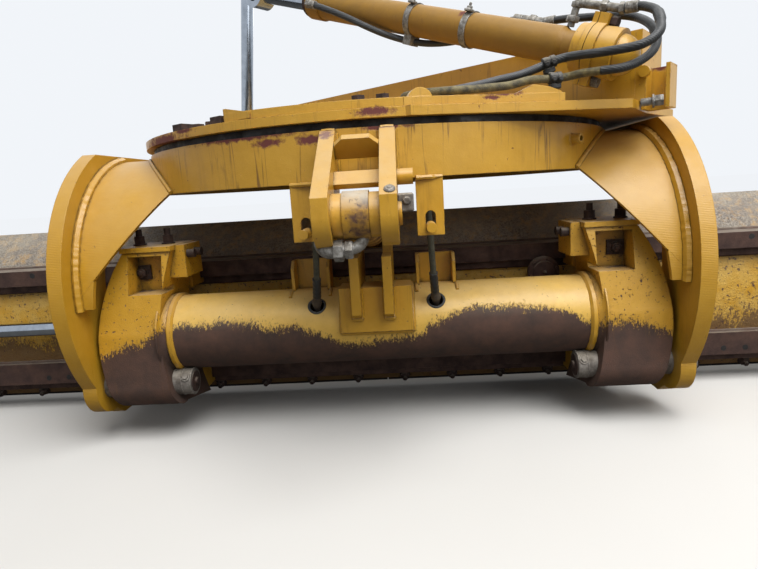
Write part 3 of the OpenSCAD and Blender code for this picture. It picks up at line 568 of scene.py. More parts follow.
def relief(tree, shader, height, distance=0.0006):
    """Fine relief on softly rounded corners."""
    soft = add(tree, "Bevel", {"Radius": ROUNDED_CORNER}, samples=4)
    bump = add(tree, "Bump", {"Height": height, "Distance": distance, "Strength": 1.0,
                              "Normal": soft.outputs["Normal"]})
    put(tree, bump.outputs["Normal"], shader.inputs["Normal"])


print("colours and relief ready")

# %% [markdown]
# ## Where the enamel ends
# The worn line on the beam and castings isn't level: it dips under the pad and rises on both sides of it.
# It is drawn as a Float Curve node along the blade, through points of place and height, so one curve
# serves the tube and both castings, and the line runs on from one to the next.

# %% The line drawn along the blade
SCOUR_END, SCOUR_LOW, SCOUR_HIGH = 800, 250, 350
SCOUR_POINTS = [
    (-800, 262), (-734, 279), (-674, 294), (-610, 334), (-555, 344), (-412, 342), (-327, 333), (-215, 323),
    (-134, 288), (-60, 268), (73, 272), (143, 306), (213, 337), (282, 347), (389, 347), (495, 337),
    (540, 318), (590, 292), (613, 296), (705, 283), (758, 267), (800, 255)]


def scour_line(tree, place):
    """The height at which the enamel ends, as a curve drawn along the blade."""
    low, high = at_height(SCOUR_LOW), at_height(SCOUR_HIGH)
    from_end = maths(tree, "SUBTRACT", along_axis(tree, place, "X"), blade(-SCOUR_END, 0, 0).x)
    curve = add(tree, "FloatCurve", {"Value": maths(tree, "DIVIDE", from_end, 2 * SCOUR_END / 1000)})
    first, *between, last = [((x + SCOUR_END) / (2 * SCOUR_END), (z - SCOUR_LOW) / (SCOUR_HIGH - SCOUR_LOW))
                             for x, z in SCOUR_POINTS]
    points = curve.mapping.curves[0].points
    points[0].location, points[-1].location = first, last
    for share, height in between:
        points.new(share, height)
    curve.mapping.update()
    return maths(tree, "MULTIPLY_ADD", curve.outputs[0], high - low, low)


print("points of the worn line:", len(SCOUR_POINTS))

# %% [markdown]
# ## The enamel recipe
# Each layer is laid over the ones before it by its own mask. Where paint is gone the surface is lower and
# duller, so the same masks also feed the roughness and the relief.


# %% The recipe
def enamel(name, tint=YELLOW, edge=0.45, chips=0.16, runs=0.5, dust=0.35, scour=0.0, spots=(), skin=0.5,
           patch=0.0, patch_size=0.2, bare=RUST, faded=0.42, gloss=0.34, chip_size=0.014,
           saw_marks=0.0, grime_and_shade=(0.016, 0.8)):
    """Yellow enamel. scour is the width of the worn band, spots are (centre, reach) in metres, and the last
    argument is how far crevice dirt and painted shade reach out of a corner, and their strength."""
    material, tree, shader, place = start_material(name)
    fade = patch_mask(tree, place, 0.45, 0.5, 2.2)
    mottle = patch_mask(tree, place, 0.035, 0.42, 2.0)
    tone = blend_colour(tree, maths(tree, "MULTIPLY", fade, faded), tint, PALE_YELLOW)
    tone = blend_colour(tree, maths(tree, "MULTIPLY", mottle, 0.4), tone, DEEP_YELLOW)
    masks = [use(tree, worn_edges, {"Vector": place, "Amount": edge})["Mask"],
             patch_mask(tree, place, chip_size, chips, 26.0)]
    if patch:
        masks.append(patch_mask(tree, place, patch_size, patch, 6.0))
    for centre, reach in spots:
        masks.append(use(tree, scuff, {"Vector": place, "Centre": centre, "Reach": reach})["Mask"])
    gone = masks[0]
    for mask in masks[1:]:
        gone = maths(tree, "MAXIMUM", gone, mask)
    tone = blend_colour(tree, gone, tone, bare)
    if scour:
        rubbed = use(tree, scoured, {"Vector": place, "Height": scour_line(tree, place),
                                     "Band": scour})["Mask"]
        bloom = patch_mask(tree, place, 0.06, 0.5, 3.0)
        tone = blend_colour(tree, rubbed, tone, blend_colour(tree, bloom, bare, DARK_RUST))
        gone = maths(tree, "MAXIMUM", gone, rubbed)
    streaks = use(tree, rain_runs, {"Vector": place, "Strength": runs})["Mask"]
    tone = blend_colour(tree, streaks, tone, RUN_BROWN)
    powder = use(tree, settled_dust, {"Vector": place, "Amount": dust})["Mask"]
    tone = blend_colour(tree, powder, tone, DUST)
    # Crevices: oil and dust, and painted shade, turn the enamel brown black where the Ambient Occlusion node
    # finds it shut in.
    shade_and_dirt = use(tree, crevice_shade_and_dirt, {"Vector": place, "Reach": grime_and_shade[0], "Amount": grime_and_shade[1]})["Mask"]
    put(tree, blend_colour(tree, shade_and_dirt, tone, SHADE_AND_SOOT), shader.inputs["Base Color"])
    matt = maths(tree, "MULTIPLY_ADD", maths(tree, "MAXIMUM", gone, powder), 0.44, gloss)
    put(tree, matt, shader.inputs["Roughness"])
    grain = use(tree, metal_skin, {"Vector": place, "Roughcast": skin})["Height"]
    height = maths(tree, "MULTIPLY_ADD", gone, -0.8, grain)
    if saw_marks:
        torch = add(tree, "TexWave", {"Vector": place, "Scale": 75.0, "Distortion": 1.2, "Detail": 2.0},
                    bands_direction="Z")
        ahead_part = along_axis(tree, add(tree, "TexCoord").outputs["Normal"], "Y")
        cut_face = maths(tree, "MULTIPLY_ADD", ahead_part, -12.0, -10.2, clamp=True)
        height = maths(tree, "MULTIPLY_ADD", maths(tree, "MULTIPLY", torch.outputs["Fac"], cut_face),
                       saw_marks, height)
    relief(tree, shader, height)
    return material


print("enamel ready")

# %% [markdown]
# ## The enamels of this machine
# The circle and arms are nearly whole, with runs under the plate and torch marks along the arms' cut
# edges. The beam and the castings are scoured below, and the beam's tube has a lighter tint, painted light
# for its bright top. The cylinders' enamel is darkened, painted shade for the frame above them, and the
# eye of the tip cylinder is rusty and dusty.

# %% Spots of wear and the enamels
ring_spots = [(blade(-225, -731, 808), (0.065, 0.03, 0.013)), (blade(-120, -755, 806), (0.05, 0.03, 0.017)),
              (blade(-300, -704, 826), (0.22, 0.15, 0.012)), (blade(60, -762, 824), (0.08, 0.03, 0.008)),
              (blade(-78, -790, 812), (0.025, 0.03, 0.02))]
plate_spots = [(blade(36, -775, 858), (0.06, 0.03, 0.014)), (blade(-560, -535, 850), (0.17, 0.17, 0.024)),
               (blade(-470, -616, 862), (0.06, 0.06, 0.010)), (blade(335, -702, 890), (0.06, 0.04, 0.012)),
               (blade(310, -704, 878), (0.03, 0.03, 0.006)), (blade(770, -532, 948), (0.04, 0.04, 0.009))]
casting_spots = [(blade(x, y, z), reach) for x in (-680, 673)
                 for y, z, reach in ((-460, 466, (0.045, 0.05, 0.014)), (-505, 428, (0.05, 0.03, 0.010)))]
barrel_spots = [(shift_axis(430, -30, 40), (0.016, 0.016, 0.016))]
paint = enamel("yellow enamel")
paint_arm = enamel("yellow enamel of the arms", tint=ARM_YELLOW, edge=0.35, chips=0.09, runs=0.2,
                   dust=0.2, saw_marks=0.4, gloss=0.3)
paint_ring = enamel("yellow enamel of the circle", runs=0.85, spots=ring_spots, chips=0.12, bare=PRIMER)
paint_plate = enamel("yellow enamel of the plate", runs=0.35, dust=0.6, spots=plate_spots, bare=PRIMER,
                     grime_and_shade=(0.016, 0.3))
# Painted light: the tube's lighter tint stands for the light on its top.
paint_tube = enamel("scoured enamel of the beam", tint=LIT_TUBE_YELLOW, edge=0.3, chips=0.17, runs=0.2,
                    dust=0.3, scour=0.026, chip_size=0.008)
paint_casting = enamel("scoured enamel of the castings", edge=0.5, chips=0.26, runs=0.35, dust=0.4,
                       scour=0.034, skin=1.6, chip_size=0.009, spots=casting_spots, grime_and_shade=(0.04, 0.85))
paint_low = enamel("chipped enamel of the brackets", edge=0.5, chips=0.12, runs=0.3, dust=0.3)
# Painted shade: the cylinders' enamel is darkened for the frame that shades them.
paint_cylinder = enamel("shade-darkened enamel of the cylinders", tint=SHADED_CYLINDER_YELLOW, chips=0.08, runs=0.3, dust=0.06,
                        spots=barrel_spots, bare=PRIMER, faded=0.12, gloss=0.55)
paint_eye = enamel("rusty enamel of the tip cylinder", tint=DEEP_YELLOW, chips=0.3, runs=0.9, dust=1.0,
                   patch=0.5, patch_size=0.05)
print("enamels:", len(bpy.data.materials))

# %% [markdown]
# ## The moldboard's back
# Above the upper rail the paint is mostly gone and dried mud speckles the steel. Between the rails the
# enamel is whole near the top and rusty below. Its hollow front is polished by soil. Height and facing
# choose between the three, in one material, because they are one plate. Both are read in the blade's own
# axes, so that nothing changes places when the circle turns.

# %% The moldboard material
board_steel, tree, shader, place = start_material("worn enamel and mud of the moldboard")
RAIL_HEIGHT, RUST_HEIGHT = at_height(486), at_height(240)
over = maths(tree, "SUBTRACT", along_axis(tree, place, "Z"), RAIL_HEIGHT)
above_rail = maths(tree, "MULTIPLY_ADD", over, 60.0, 0.5, clamp=True)
old_paint = blend_colour(tree, patch_mask(tree, place, 0.05, 0.5, 3.0), YELLOW, PALE_YELLOW)
chipped = patch_mask(tree, place, 0.012, 0.3, 16.0)
low_rust = use(tree, scoured, {"Vector": place, "Height": RUST_HEIGHT, "Band": 0.06})["Mask"]
lower = blend_colour(tree, maths(tree, "MAXIMUM", chipped, maths(tree, "MULTIPLY", low_rust, 0.8)),
                     old_paint, RUST)
bare_back = blend_colour(tree, patch_mask(tree, place, 0.16, 0.55, 5.0), colour(96, 84, 82),
                         colour(66, 56, 54))
upper = blend_colour(tree, patch_mask(tree, place, 0.028, 0.42, 8.0), bare_back, colour(176, 136, 78))
mud = patch_mask(tree, place, 0.006, 0.5, 6.0)
mud_zone = patch_mask(tree, place, 0.16, 0.62, 2.5)
upper = blend_colour(tree, maths(tree, "MULTIPLY", mud, mud_zone), upper, colour(168, 160, 150))
back = blend_colour(tree, above_rail, lower, upper)
ahead_part = along_axis(tree, add(tree, "TexCoord").outputs["Normal"], "Y")
hollow = maths(tree, "MULTIPLY_ADD", ahead_part, 5.0, -0.6, clamp=True)
drag = add(tree, "TexNoise", {"Vector": stretched(tree, place, (1.5, 40.0, 40.0)), "Scale": 3.0,
                              "Detail": 6.0})
polished = blend_colour(tree, drag.outputs["Fac"], colour(120, 114, 108), colour(168, 162, 154))
powder = use(tree, settled_dust, {"Vector": place, "Amount": 0.7})["Mask"]
tone = blend_colour(tree, hollow, back, polished)
put(tree, blend_colour(tree, powder, tone, DUST), shader.inputs["Base Color"])
put(tree, maths(tree, "MULTIPLY_ADD", hollow, -0.42, 0.8), shader.inputs["Roughness"])
put(tree, maths(tree, "MULTIPLY", hollow, 0.7), shader.inputs["Metallic"])
skin = use(tree, metal_skin, {"Vector": place, "Roughcast": 1.2})["Height"]
relief(tree, shader, maths(tree, "MULTIPLY_ADD", mud, 1.2, skin), 0.0008)
print("material", board_steel.name)

# %% [markdown]
# ## Bare steels
# The rails, pins, bolts and shoes are bare. Rust blooms in two tones over them, their corners are rubbed
# bright, and dust lies on top. The amounts make a rail, a dark bolt or a greasy casting of the same recipe.


# %% Bare steel and zinc
def bare_metal(name, base, bloom, bright, edge=0.5, dust=0.4, metal=0.25, matt=0.7, grain=0.004,
               bloom_size=0.05):
    """Unpainted steel with a bloom of a second tone and rubbed edges."""
    material, tree, shader, place = start_material(name)
    cover = patch_mask(tree, place, bloom_size, 0.5, 3.5)
    tone = blend_colour(tree, cover, base, bloom)
    rub = use(tree, worn_edges, {"Vector": place, "Amount": edge, "Width": 0.004})["Mask"]
    tone = blend_colour(tree, rub, tone, bright)
    powder = use(tree, settled_dust, {"Vector": place, "Amount": dust, "Size": 0.05})["Mask"]
    put(tree, blend_colour(tree, powder, tone, DUST), shader.inputs["Base Color"])
    shine = maths(tree, "MULTIPLY_ADD", maths(tree, "MAXIMUM", cover, powder), 1 - matt, matt - 0.1)
    put(tree, shine, shader.inputs["Roughness"])
    put(tree, maths(tree, "MULTIPLY_ADD", rub, 0.5, metal, clamp=True), shader.inputs["Metallic"])
    skin = use(tree, metal_skin, {"Vector": place, "Grain": grain, "Roughcast": 1.3})["Height"]
    relief(tree, shader, skin)
    return material


rail_steel = bare_metal("rusty rail steel", colour(84, 60, 50), colour(62, 46, 42), colour(140, 120, 104))
edge_steel = bare_metal("dark edge steel", colour(50, 44, 42), colour(36, 32, 31), colour(120, 114, 108),
                        matt=0.6, metal=0.5)
bolt_steel = bare_metal("dark rusty bolt steel", colour(70, 50, 42), colour(44, 34, 32), colour(110, 92, 80),
                        dust=0.3, bloom_size=0.02, grain=0.002)
pin_steel = bare_metal("dusty pin steel", colour(140, 134, 127), colour(98, 91, 84), colour(196, 192, 186),
                       metal=0.45, matt=0.55, bloom_size=0.03)
grey_iron = bare_metal("greasy grey casting", colour(96, 86, 74), colour(66, 56, 46), colour(150, 140, 126))
# Black grease of the wear strip, also the painted shade of the rails' holes.
black_grease_and_hole_shade = bare_metal("black grease and hole shade", GREASE_AND_SHADE_BLACK, colour(18, 16, 15), colour(60, 54, 48), dust=0.05,
                          metal=0.0, matt=0.5)
zinc = bare_metal("dull zinc", colour(150, 148, 143), colour(104, 99, 92), colour(196, 194, 190),
                  metal=0.5, matt=0.5, bloom_size=0.012, dust=0.3)
motor_black = bare_metal("black enamel", colour(36, 35, 34), colour(28, 27, 26), colour(90, 86, 80),
                         metal=0.0, matt=0.5)
print("bare metals ready")

# %% [markdown]
# ## Chrome
# The rods are hard chrome, a mirror with a thin oily haze. The haze makes it a little darker and duller
# in soft clouds.

# %% Hard chrome
chrome, tree, shader, place = start_material("hard chrome")
haze = patch_mask(tree, place, 0.05, 0.5, 2.5)
tone = blend_colour(tree, haze, colour(172, 180, 190), colour(146, 154, 164))
put(tree, tone, shader.inputs["Base Color"])
put(tree, maths(tree, "MULTIPLY_ADD", haze, 0.12, 0.1), shader.inputs["Roughness"])
shader.inputs["Metallic"].default_value = 1.0
print("materials:", len(bpy.data.materials))

# %% [markdown]
# ## Hose rubber
# The hoses are black rubber with a woven cover. Dust greys their upper side, and the weave is a fine bump
# of slanting waves along the hose. Two other covers have faded, to olive and to khaki.


# %% The rubber and the faded covers
def weave(tree, shader, place, fineness, waver, depth):
    """The fine relief of a woven cover."""
    waves = add(tree, "TexWave", {"Vector": place, "Scale": fineness, "Distortion": waver},
                bands_direction="DIAGONAL")
    relief(tree, shader, waves.outputs["Fac"], depth)


def faded_cover(name, clean, grimy, grime_size, hardness, fineness):
    """A woven cover in two tones."""
    material, tree, shader, place = start_material(name)
    grime_and_shade = patch_mask(tree, place, grime_size, 0.5, hardness)
    put(tree, blend_colour(tree, grime_and_shade, clean, grimy), shader.inputs["Base Color"])
    put(tree, maths(tree, "MULTIPLY_ADD", grime_and_shade, 0.2, 0.6), shader.inputs["Roughness"])
    weave(tree, shader, place, fineness, 1.0, 0.0003)
    return material


olive = faded_cover("olive dusty hose", colour(52, 52, 42), colour(92, 90, 74), 0.02, 3.0, 120.0)
khaki = faded_cover("khaki faded hose", colour(118, 106, 68), colour(66, 62, 50), 0.018, 4.0, 90.0)
rubber, tree, shader, place = start_material("dusty hose rubber")
grime_and_shade = patch_mask(tree, place, 0.03, 0.45, 3.0)
tone = blend_colour(tree, maths(tree, "MULTIPLY", grime_and_shade, 0.4), colour(31, 33, 35), colour(66, 66, 64))
powder = use(tree, settled_dust, {"Vector": place, "Amount": 0.3, "Size": 0.04})["Mask"]
put(tree, blend_colour(tree, powder, tone, colour(118, 118, 116)), shader.inputs["Base Color"])
put(tree, maths(tree, "MULTIPLY_ADD", grime_and_shade, 0.25, 0.36), shader.inputs["Roughness"])
weave(tree, shader, place, 90.0, 1.5, 0.0004)
print("covers", rubber.name, olive.name, khaki.name)

# %% [markdown]
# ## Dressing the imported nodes
# The shapes of the rigid nodes are right, so each keeps its mesh and gets its finish. A table of node
# names per finish shows at a glance which piece wears what.

# %% Give every node its material
finishes = {
    paint: ["drawbar_beams", "drawbar_nose", "cross_beam", "drive_gearbox", "centre_cap"],
    paint_plate: ["yoke_plate", "yoke_rim", "side_brackets"],
    paint_ring: ["circle_ring", "tip_clevis"],
    paint_arm: ["arm_left", "arm_right", "arm_web_left", "arm_web_right"],
    paint_low: ["hose_brackets", "hose_guides", "beam_lugs", "rail_shoes"],
    paint_tube: ["beam_tube"],
    paint_casting: ["beam_end_left", "beam_end_right"],
    paint_cylinder: ["side_barrel", "lift_barrel", "centre_barrel"],
    paint_eye: ["tip_barrel"],
    board_steel: ["moldboard"],
    rail_steel: ["upper_rail", "lower_rail"],
    edge_steel: ["cutting_edges", "end_bits", "pinion"],
    bolt_steel: ["shoe_bolts", "end_studs"],
    pin_steel: ["pivot_pins"],
    grey_iron: ["circle_shoes", "ball_studs", "hose_ports"],
    black_grease_and_hole_shade: ["wear_strip"],
    motor_black: ["drive_motor"],
    chrome: ["side_rod", "tip_rod", "lift_rod", "centre_rod"],
    zinc: ["barrel_fittings"],
    rubber: ["shift_hoses", "tilt_hoses", "barrel_hose"],
}
for material, names in finishes.items():
    for name in names:
        for mesh_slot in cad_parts[name].material_slots:
            mesh_slot.material = material
print("dressed", sum(len(names) for names in finishes.values()), "of", len(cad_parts), "nodes")

# %% [markdown]
# ## Welds of the circle
# Two web sheets and a clevis are welded to the circle, and each web runs into its arm with a broad bead.
# The beads follow the same circles as the plates do, so a point on the band or on an arm's curve is
# found by its angle or its place along the blade.

# %% Beads on the circle
ARM_Y, ARM_Z, CIRCLE_R, CLEVIS_X = -262, 435, 765, -7


def on_arm(x, radius, degrees):
    """A point on an arm's curve, by its angle from straight ahead."""
    angle = math.radians(degrees)
    return blade(x, ARM_Y + radius * math.cos(angle), ARM_Z + radius * math.sin(angle))


def on_band(x, z, proud=1):
    """A point on the rear face of the circle's band."""
    return blade(x, -math.sqrt((CIRCLE_R + proud) ** 2 - x * x), z)


beads = Shape()
for side in (-1, 1):
    weld(beads, [on_arm(side * 796, 386, a) for a in range(96, 185, 4)], 0.0135, 0.006)
    web_edge = [(z, ARM_Y - math.sqrt(385 ** 2 - (z - ARM_Z) ** 2)) for z in range(710, 816, 15)]
    weld(beads, [blade(side * math.sqrt(768 ** 2 - y * y), y, z) for z, y in web_edge], 0.0065)
    for wall in (50, 85):
        x = CLEVIS_X + side * wall
        weld(beads, [on_band(x, z) for z in (712, 740, 780, 817)], 0.006)
    x = CLEVIS_X + side * 67
    weld(beads, [on_band(x - 15, 823), on_band(x, 824), on_band(x + 15, 823)], 0.005)
for x in (-145, 151):
    weld(beads, [on_band(x + step, 706) for step in (-31, -12, 8, 31)], 0.006)
finish_piece("circle_welds", beads, "circle", paint_arm)
print("weld faces", added["circle_welds"])

# %% [markdown]
# ## Blunt ends of the web sheets
# Each web sheet ends in a short blunt edge, a little below the point where its slanted edge would meet the
# arm. The end piece fills that corner. It lies on the sheet's own curve, a hair inside both faces so that
# no faces coincide.

# %% Web ends
ends = Shape()
for side in (-1, 1):
    rings = []
    for step in range(9):
        z = 488 - 9.5 * step
        inner, outer = 748 + 0.15 * (488 - z), min(800, 801.5 - 0.86 * (z - 430))
        ring = [blade(side * x, ARM_Y - math.sqrt(radius ** 2 - (z - ARM_Z) ** 2), z)
                for x, radius in ((inner, 383.9), (outer, 383.9), (outer, 370.1), (inner, 370.1))]
        rings.append(ring[::side])
    ends.stack(rings)
finish_piece("web_ends", ends, "circle", paint_arm)
print("web end faces", added["web_ends"])

# %% [markdown]
# ## Welds of the tilting beam
# The pad, its lugs and the bent hose guards sit on a round tube, so their seams run along the tube: a
# point on it is given by its place along the blade and its angle above the rear. The castings take the
# tube in a seam that goes all the way round.

# %% Beads on the beam
TUBE_Y, TUBE_Z, TUBE_R = -480, 300, 110


def on_tube(x, degrees, proud=1):
    """A point on the beam's tube, by its angle above straight behind."""
    angle = math.radians(degrees)
    return blade(x, TUBE_Y - (TUBE_R + proud) * math.cos(angle), TUBE_Z + (TUBE_R + proud) * math.sin(angle))


beads = Shape()
weld(beads, [on_tube(x, 0) for x in (-99, -50, 0, 50, 99)], 0.0075)
for side in (-1, 1):
    weld(beads, [on_tube(side * 99, a) for a in range(0, 92, 15)], 0.0065)
    weld(beads, [on_tube(side * 587, a, -2) for a in range(-180, 181, 20)], 0.011, 0.01)
    for wall in (31, 56):
        x = CLEVIS_X + side * wall
        weld(beads, [blade(x, -604, z) for z in (344, 370, 400, 426)], 0.0055)
    x = CLEVIS_X + side * 43.5
    weld(beads, [blade(x - 14, -606, 343), blade(x, -607, 342), blade(x + 14, -606, 343)], 0.0075)
for guide_edge in (-247, -133, 113, 227):
    weld(beads, [on_tube(guide_edge, a) for a in (60, 70, 80)], 0.005)
finish_piece("beam_welds", beads, "tilt_beam", paint_low)
print("weld faces", added["beam_welds"])

# %% [markdown]
# ## Welds of the drawbar and of the rails
# These seams hardly show from behind, but the part is turned round by whoever uses it. The cross beam
# and the draw beams stand on the yoke plate, and both rails are welded along the moldboard's back.

# %% Beads on the drawbar and the moldboard
PLATE_TOP = 866
beads = Shape()
for v in (-2, 182):
    weld(beads, [drawbar(u, v, PLATE_TOP) for u in range(-880, 881, 110)], 0.006, 0.012)
for side in (-1, 1):
    for edge in (-61, 61):
        weld(beads, [drawbar(side * (430 + edge - 0.185 * (v - 180)), v, PLATE_TOP)
                     for v in (186, 400, 620, 826)], 0.006, 0.012)
finish_piece("drawbar_welds", beads, "drawbar", paint)

beads = Shape()
BOARD_Y, BOARD_Z, BOARD_R, EDGE_DEPTH = 126.8, 252.6, 413, 41


def on_board(x, z, proud=0.0):
    """A point on the moldboard's back, and the direction straight out of it."""
    out = Vector((0, -math.sqrt(BOARD_R ** 2 - (z - BOARD_Z) ** 2), z - BOARD_Z)) / BOARD_R
    return blade(x, BOARD_Y + (BOARD_R + proud) * out.y, BOARD_Z + (BOARD_R + proud) * out.z), out


for z in (66, 166, 410, 487):
    weld(beads, [on_board(x, z)[0] for x in range(-1640, 1641, 205)], 0.006, 0.014)
finish_piece("rail_welds", beads, "moldboard", rail_steel)
print("weld faces", added["drawbar_welds"] + added["rail_welds"])

# %% [markdown]
# ## Blocks with cut corners
# Clamps, square washers and keepers are small plates. A ring of eight points is a rectangle with cut
# corners, and four such rings make a block whose every edge is broken, as a sawn or flame-cut one is.


# %% A block builder
def block(shape, centre, along, across, half, cut=0.0015):
    """A block about a centre; half holds its half sizes along, across and up."""
    along, across = along.normalized(), across.normalized()
    rise = along.cross(across)
    rings = []
    for lift, shrink in ((-half[2], cut), (-half[2] + cut, 0), (half[2] - cut, 0), (half[2], cut)):
        a, b = half[0] - shrink, half[1] - shrink
        corners = [(a, b - cut), (a - cut, b), (cut - a, b), (-a, b - cut),
                   (-a, cut - b), (cut - a, -b), (a - cut, -b), (a, cut - b)]
        rings.append([centre + lift * rise + p * along + q * across for p, q in corners])
    shape.stack(rings)


RIGHT, AHEAD, UP = Vector((1, 0, 0)), Vector((0, 1, 0)), Vector((0, 0, 1))
print("block builder ready")

# %% [markdown]
# ## Bolts of the castings and pivot pins
# A bolt with a square washer sits in each casting's pocket. Each pivot pin ends in a dark face towards
# the middle and is locked by a set bolt that faces the rear.

# %% Casting and pin hardware
PIN_Y, PIN_Z = -545, 166
bolts = Shape()
for x in (-684, 673):
    block(bolts, blade(x, -491, 486), RIGHT, UP, (0.024, 0.021, 0.0035))
    bolt(bolts, blade(x, -494, 486), -AHEAD, 0.013, stud=0.006)
for side in (-1, 1):
    for radius, height in ((0.031, 0.003), (0.011, 0.009)):
        disc(bolts, blade(side * 546.5, PIN_Y, PIN_Z), -side * RIGHT, radius, height)
finish_piece("casting_bolts", bolts, "tilt_beam", bolt_steel)

locks = Shape()
for side in (-1, 1):
    out = Vector((0, -math.cos(0.62), math.sin(0.62)))
    centre = blade(side * 562, PIN_Y, PIN_Z) + out * 0.0375
    disc(locks, centre, out, 0.0135, 0.003)
    disc(locks, centre + out * 0.003, out, 0.0095, 0.004, sides=6)
    for x in (549, 574):
        locks.stack([circle_of(blade(side * (x + step), PIN_Y, PIN_Z), RIGHT, radius, 48)
                     for step, radius in ((-2.5, 0.0383), (-1.5, 0.0395), (1.5, 0.0395), (2.5, 0.0383))])
finish_piece("pin_locks", locks, "tilt_beam", pin_steel)
print("bolt faces", added["casting_bolts"] + added["pin_locks"])

# %% [markdown]
# ## Nuts and heads of the cutting edges
# Plough bolts hold the cutting edges. Their nuts stand in a row behind the lower edge, and their heads
# lie sunk in the front face.

# %% The row of edge bolts
nuts, heads = Shape(), Shape()
for i in range(-10, 11):
    x = 62 + 162 * i
    back, out = on_board(x, 49)
    bolt(nuts, back, out, 0.0145, stud=0.012)
    face, out = on_board(x, 49, -EDGE_DEPTH)
    disc(heads, face - out * 0.0008, -out, 0.0165, 0.0022, edge=0.0012)
    disc(heads, face, -out, 0.0075, 0.0026, sides=4)
finish_piece("edge_nuts", nuts, "moldboard", bolt_steel)
finish_piece("edge_bolt_heads", heads, "moldboard", edge_steel)

# Each bolt hole in the rails is a thin black disc on the rail's face: painted shade for the hole's dark
# inside.
hole_shade_discs = Shape()
for x, z in ((-1163, 113), (-1092, 113), (-1160, 470), (1160, 113), (1092, 113), (1160, 470)):
    disc(hole_shade_discs, blade(x, -299.9, z), -AHEAD, 0.009, 0.0003, edge=0.0001)
finish_piece("rail_hole_shades", hole_shade_discs, "moldboard", black_grease_and_hole_shade)
print("nut faces", added["edge_nuts"])

# %% [markdown]
# ## Small fittings on the circle
# The right ear carries a domed screw and a grey keeper for the tip pin, and a short hollow boss sticks
# out of the band beside the right web.

# %% Clevis screw, keeper and boss
screw = Shape()
slope, seat = Vector((0, -0.571, 0.821)), blade(64, -972, 685)
disc(screw, seat, slope, 0.0115, 0.005, edge=0.003)
disc(screw, seat + slope * 0.005, slope, 0.006, 0.0015, sides=6)
block(screw, blade(94, -912, 656), RIGHT, AHEAD, (0.0165, 0.02, 0.019), 0.003)
bolt(screw, blade(96, -932, 660), -AHEAD, 0.007)
finish_piece("clevis_hardware", screw, "circle", pin_steel)

boss = Shape()
out = Vector((539, -543, 0)).normalized()
foot = on_band(539, 783, -1)
boss.stack([circle_of(foot + out * reach, out, radius, 28)
            for reach, radius in ((0, 0.017), (0.004, 0.0135), (0.025, 0.0135), (0.027, 0.0125),
                                  (0.027, 0.0075), (0.012, 0.0072))])
finish_piece("band_boss", boss, "circle", paint_arm)
print("boss faces", added["band_boss"])

# %% [markdown]
# ## The round cover behind the beam
# Beside the right casting, in the gap between the beam and the moldboard, a rusty round cover with a
# grease nipple closes the clamp of the side-shift cylinder.

# %% Round cover
cover = Shape()
centre = blade(516, -318, 398)
cover.stack([circle_of(centre - AHEAD * reach, -AHEAD, radius, 48)
             for reach, radius in ((-0.016, 0.046), (0.0, 0.049), (0.008, 0.049), (0.012, 0.045),
                                   (0.014, 0.036), (0.0185, 0.033), (0.021, 0.02), (0.022, 0.006))])
for k in range(6):
    angle = k * math.pi / 3 + 0.3
    spot = centre - AHEAD * 0.0115 + 0.0405 * (math.cos(angle) * RIGHT + math.sin(angle) * UP)
    bolt(cover, spot, -AHEAD, 0.0038, washer=False)
block(cover, blade(516, -318, 350), RIGHT, AHEAD, (0.026, 0.012, 0.026), 0.002)
finish_piece("round_cover", cover, "tilt_beam", rail_steel)

nipple = Shape()
disc(nipple, blade(516, -339, 400), -AHEAD, 0.0052, 0.007, sides=6)
disc(nipple, blade(516, -346, 400), -AHEAD, 0.0032, 0.009, sides=12)
finish_piece("cover_nipple", nipple, "tilt_beam", pin_steel)
print("cover faces", added["round_cover"])

# %% [markdown]
# ## Hose couplings
# A hose ends in a crimped sleeve and a hexagon nut. The sleeve's rings come from one list of distances
# and radii, so every coupling on this machine is the same lathe-like outline at its hose's size.


# %% Couplings and elbows
def hexagon(shape, centre, way, size, height):
    """A hexagon nut with broken edges along a direction."""
    start = dice.uniform(0, math.pi / 3)
    shape.stack([circle_of(centre + way * height * share, way, size * grow, 6, start)
                 for share, grow in ((0, 0.93), (0.1, 1), (0.9, 1), (1, 0.93))])


def coupling(shape, end, way, radius):
    """A crimped sleeve and nut on a hose's end; way points out of the hose."""
    way = way.normalized()
    profile = [(0, 1.12), (0.1, 1.28), (0.9, 1.28), (1.0, 1.16), (1.1, 1.28), (1.9, 1.28), (2.0, 1.16),
               (2.1, 1.28), (2.7, 1.28), (2.8, 0.95), (3.4, 0.95)]
    shape.stack([circle_of(end + way * radius * (s - 2.8), way, radius * r, 24) for s, r in profile])
    hexagon(shape, end + way * radius * 0.2, way, radius * 1.45, radius * 1.1)


elbow = Shape()
pipe = smooth_route([blade(*p) for p in ((4, -908, 622), (6, -924, 596), (-4, -934, 576), (-24, -936, 568),
                                         (-50, -935, 566), (-72, -932, 567), (-84, -922, 578),
                                         (-86, -908, 592))], 6)
sweep(elbow, pipe, lambda i, angle: 0.0125 if i < 20 else 0.0155, 20)
hexagon(elbow, blade(-34, -936, 567), RIGHT, 0.0205, 0.016)
hexagon(elbow, blade(-58, -935, 566), RIGHT, 0.0225, 0.02)
hexagon(elbow, blade(6, -916, 606), Vector((0, 0.5, 0.86)), 0.021, 0.014)
finish_piece("tip_elbow", elbow, "tip_barrel", zinc)
print("elbow faces", added["tip_elbow"])

# %% [markdown]
# ## Hoses of the tip cylinder
# Two thin hoses come up out of the beam's holes and go out of sight behind the slotted brackets, where
# they end. The lower end wears a black sleeve over a rounded steel end, and a rubber ring lines its hole.
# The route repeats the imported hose, and the new hose stands for it.

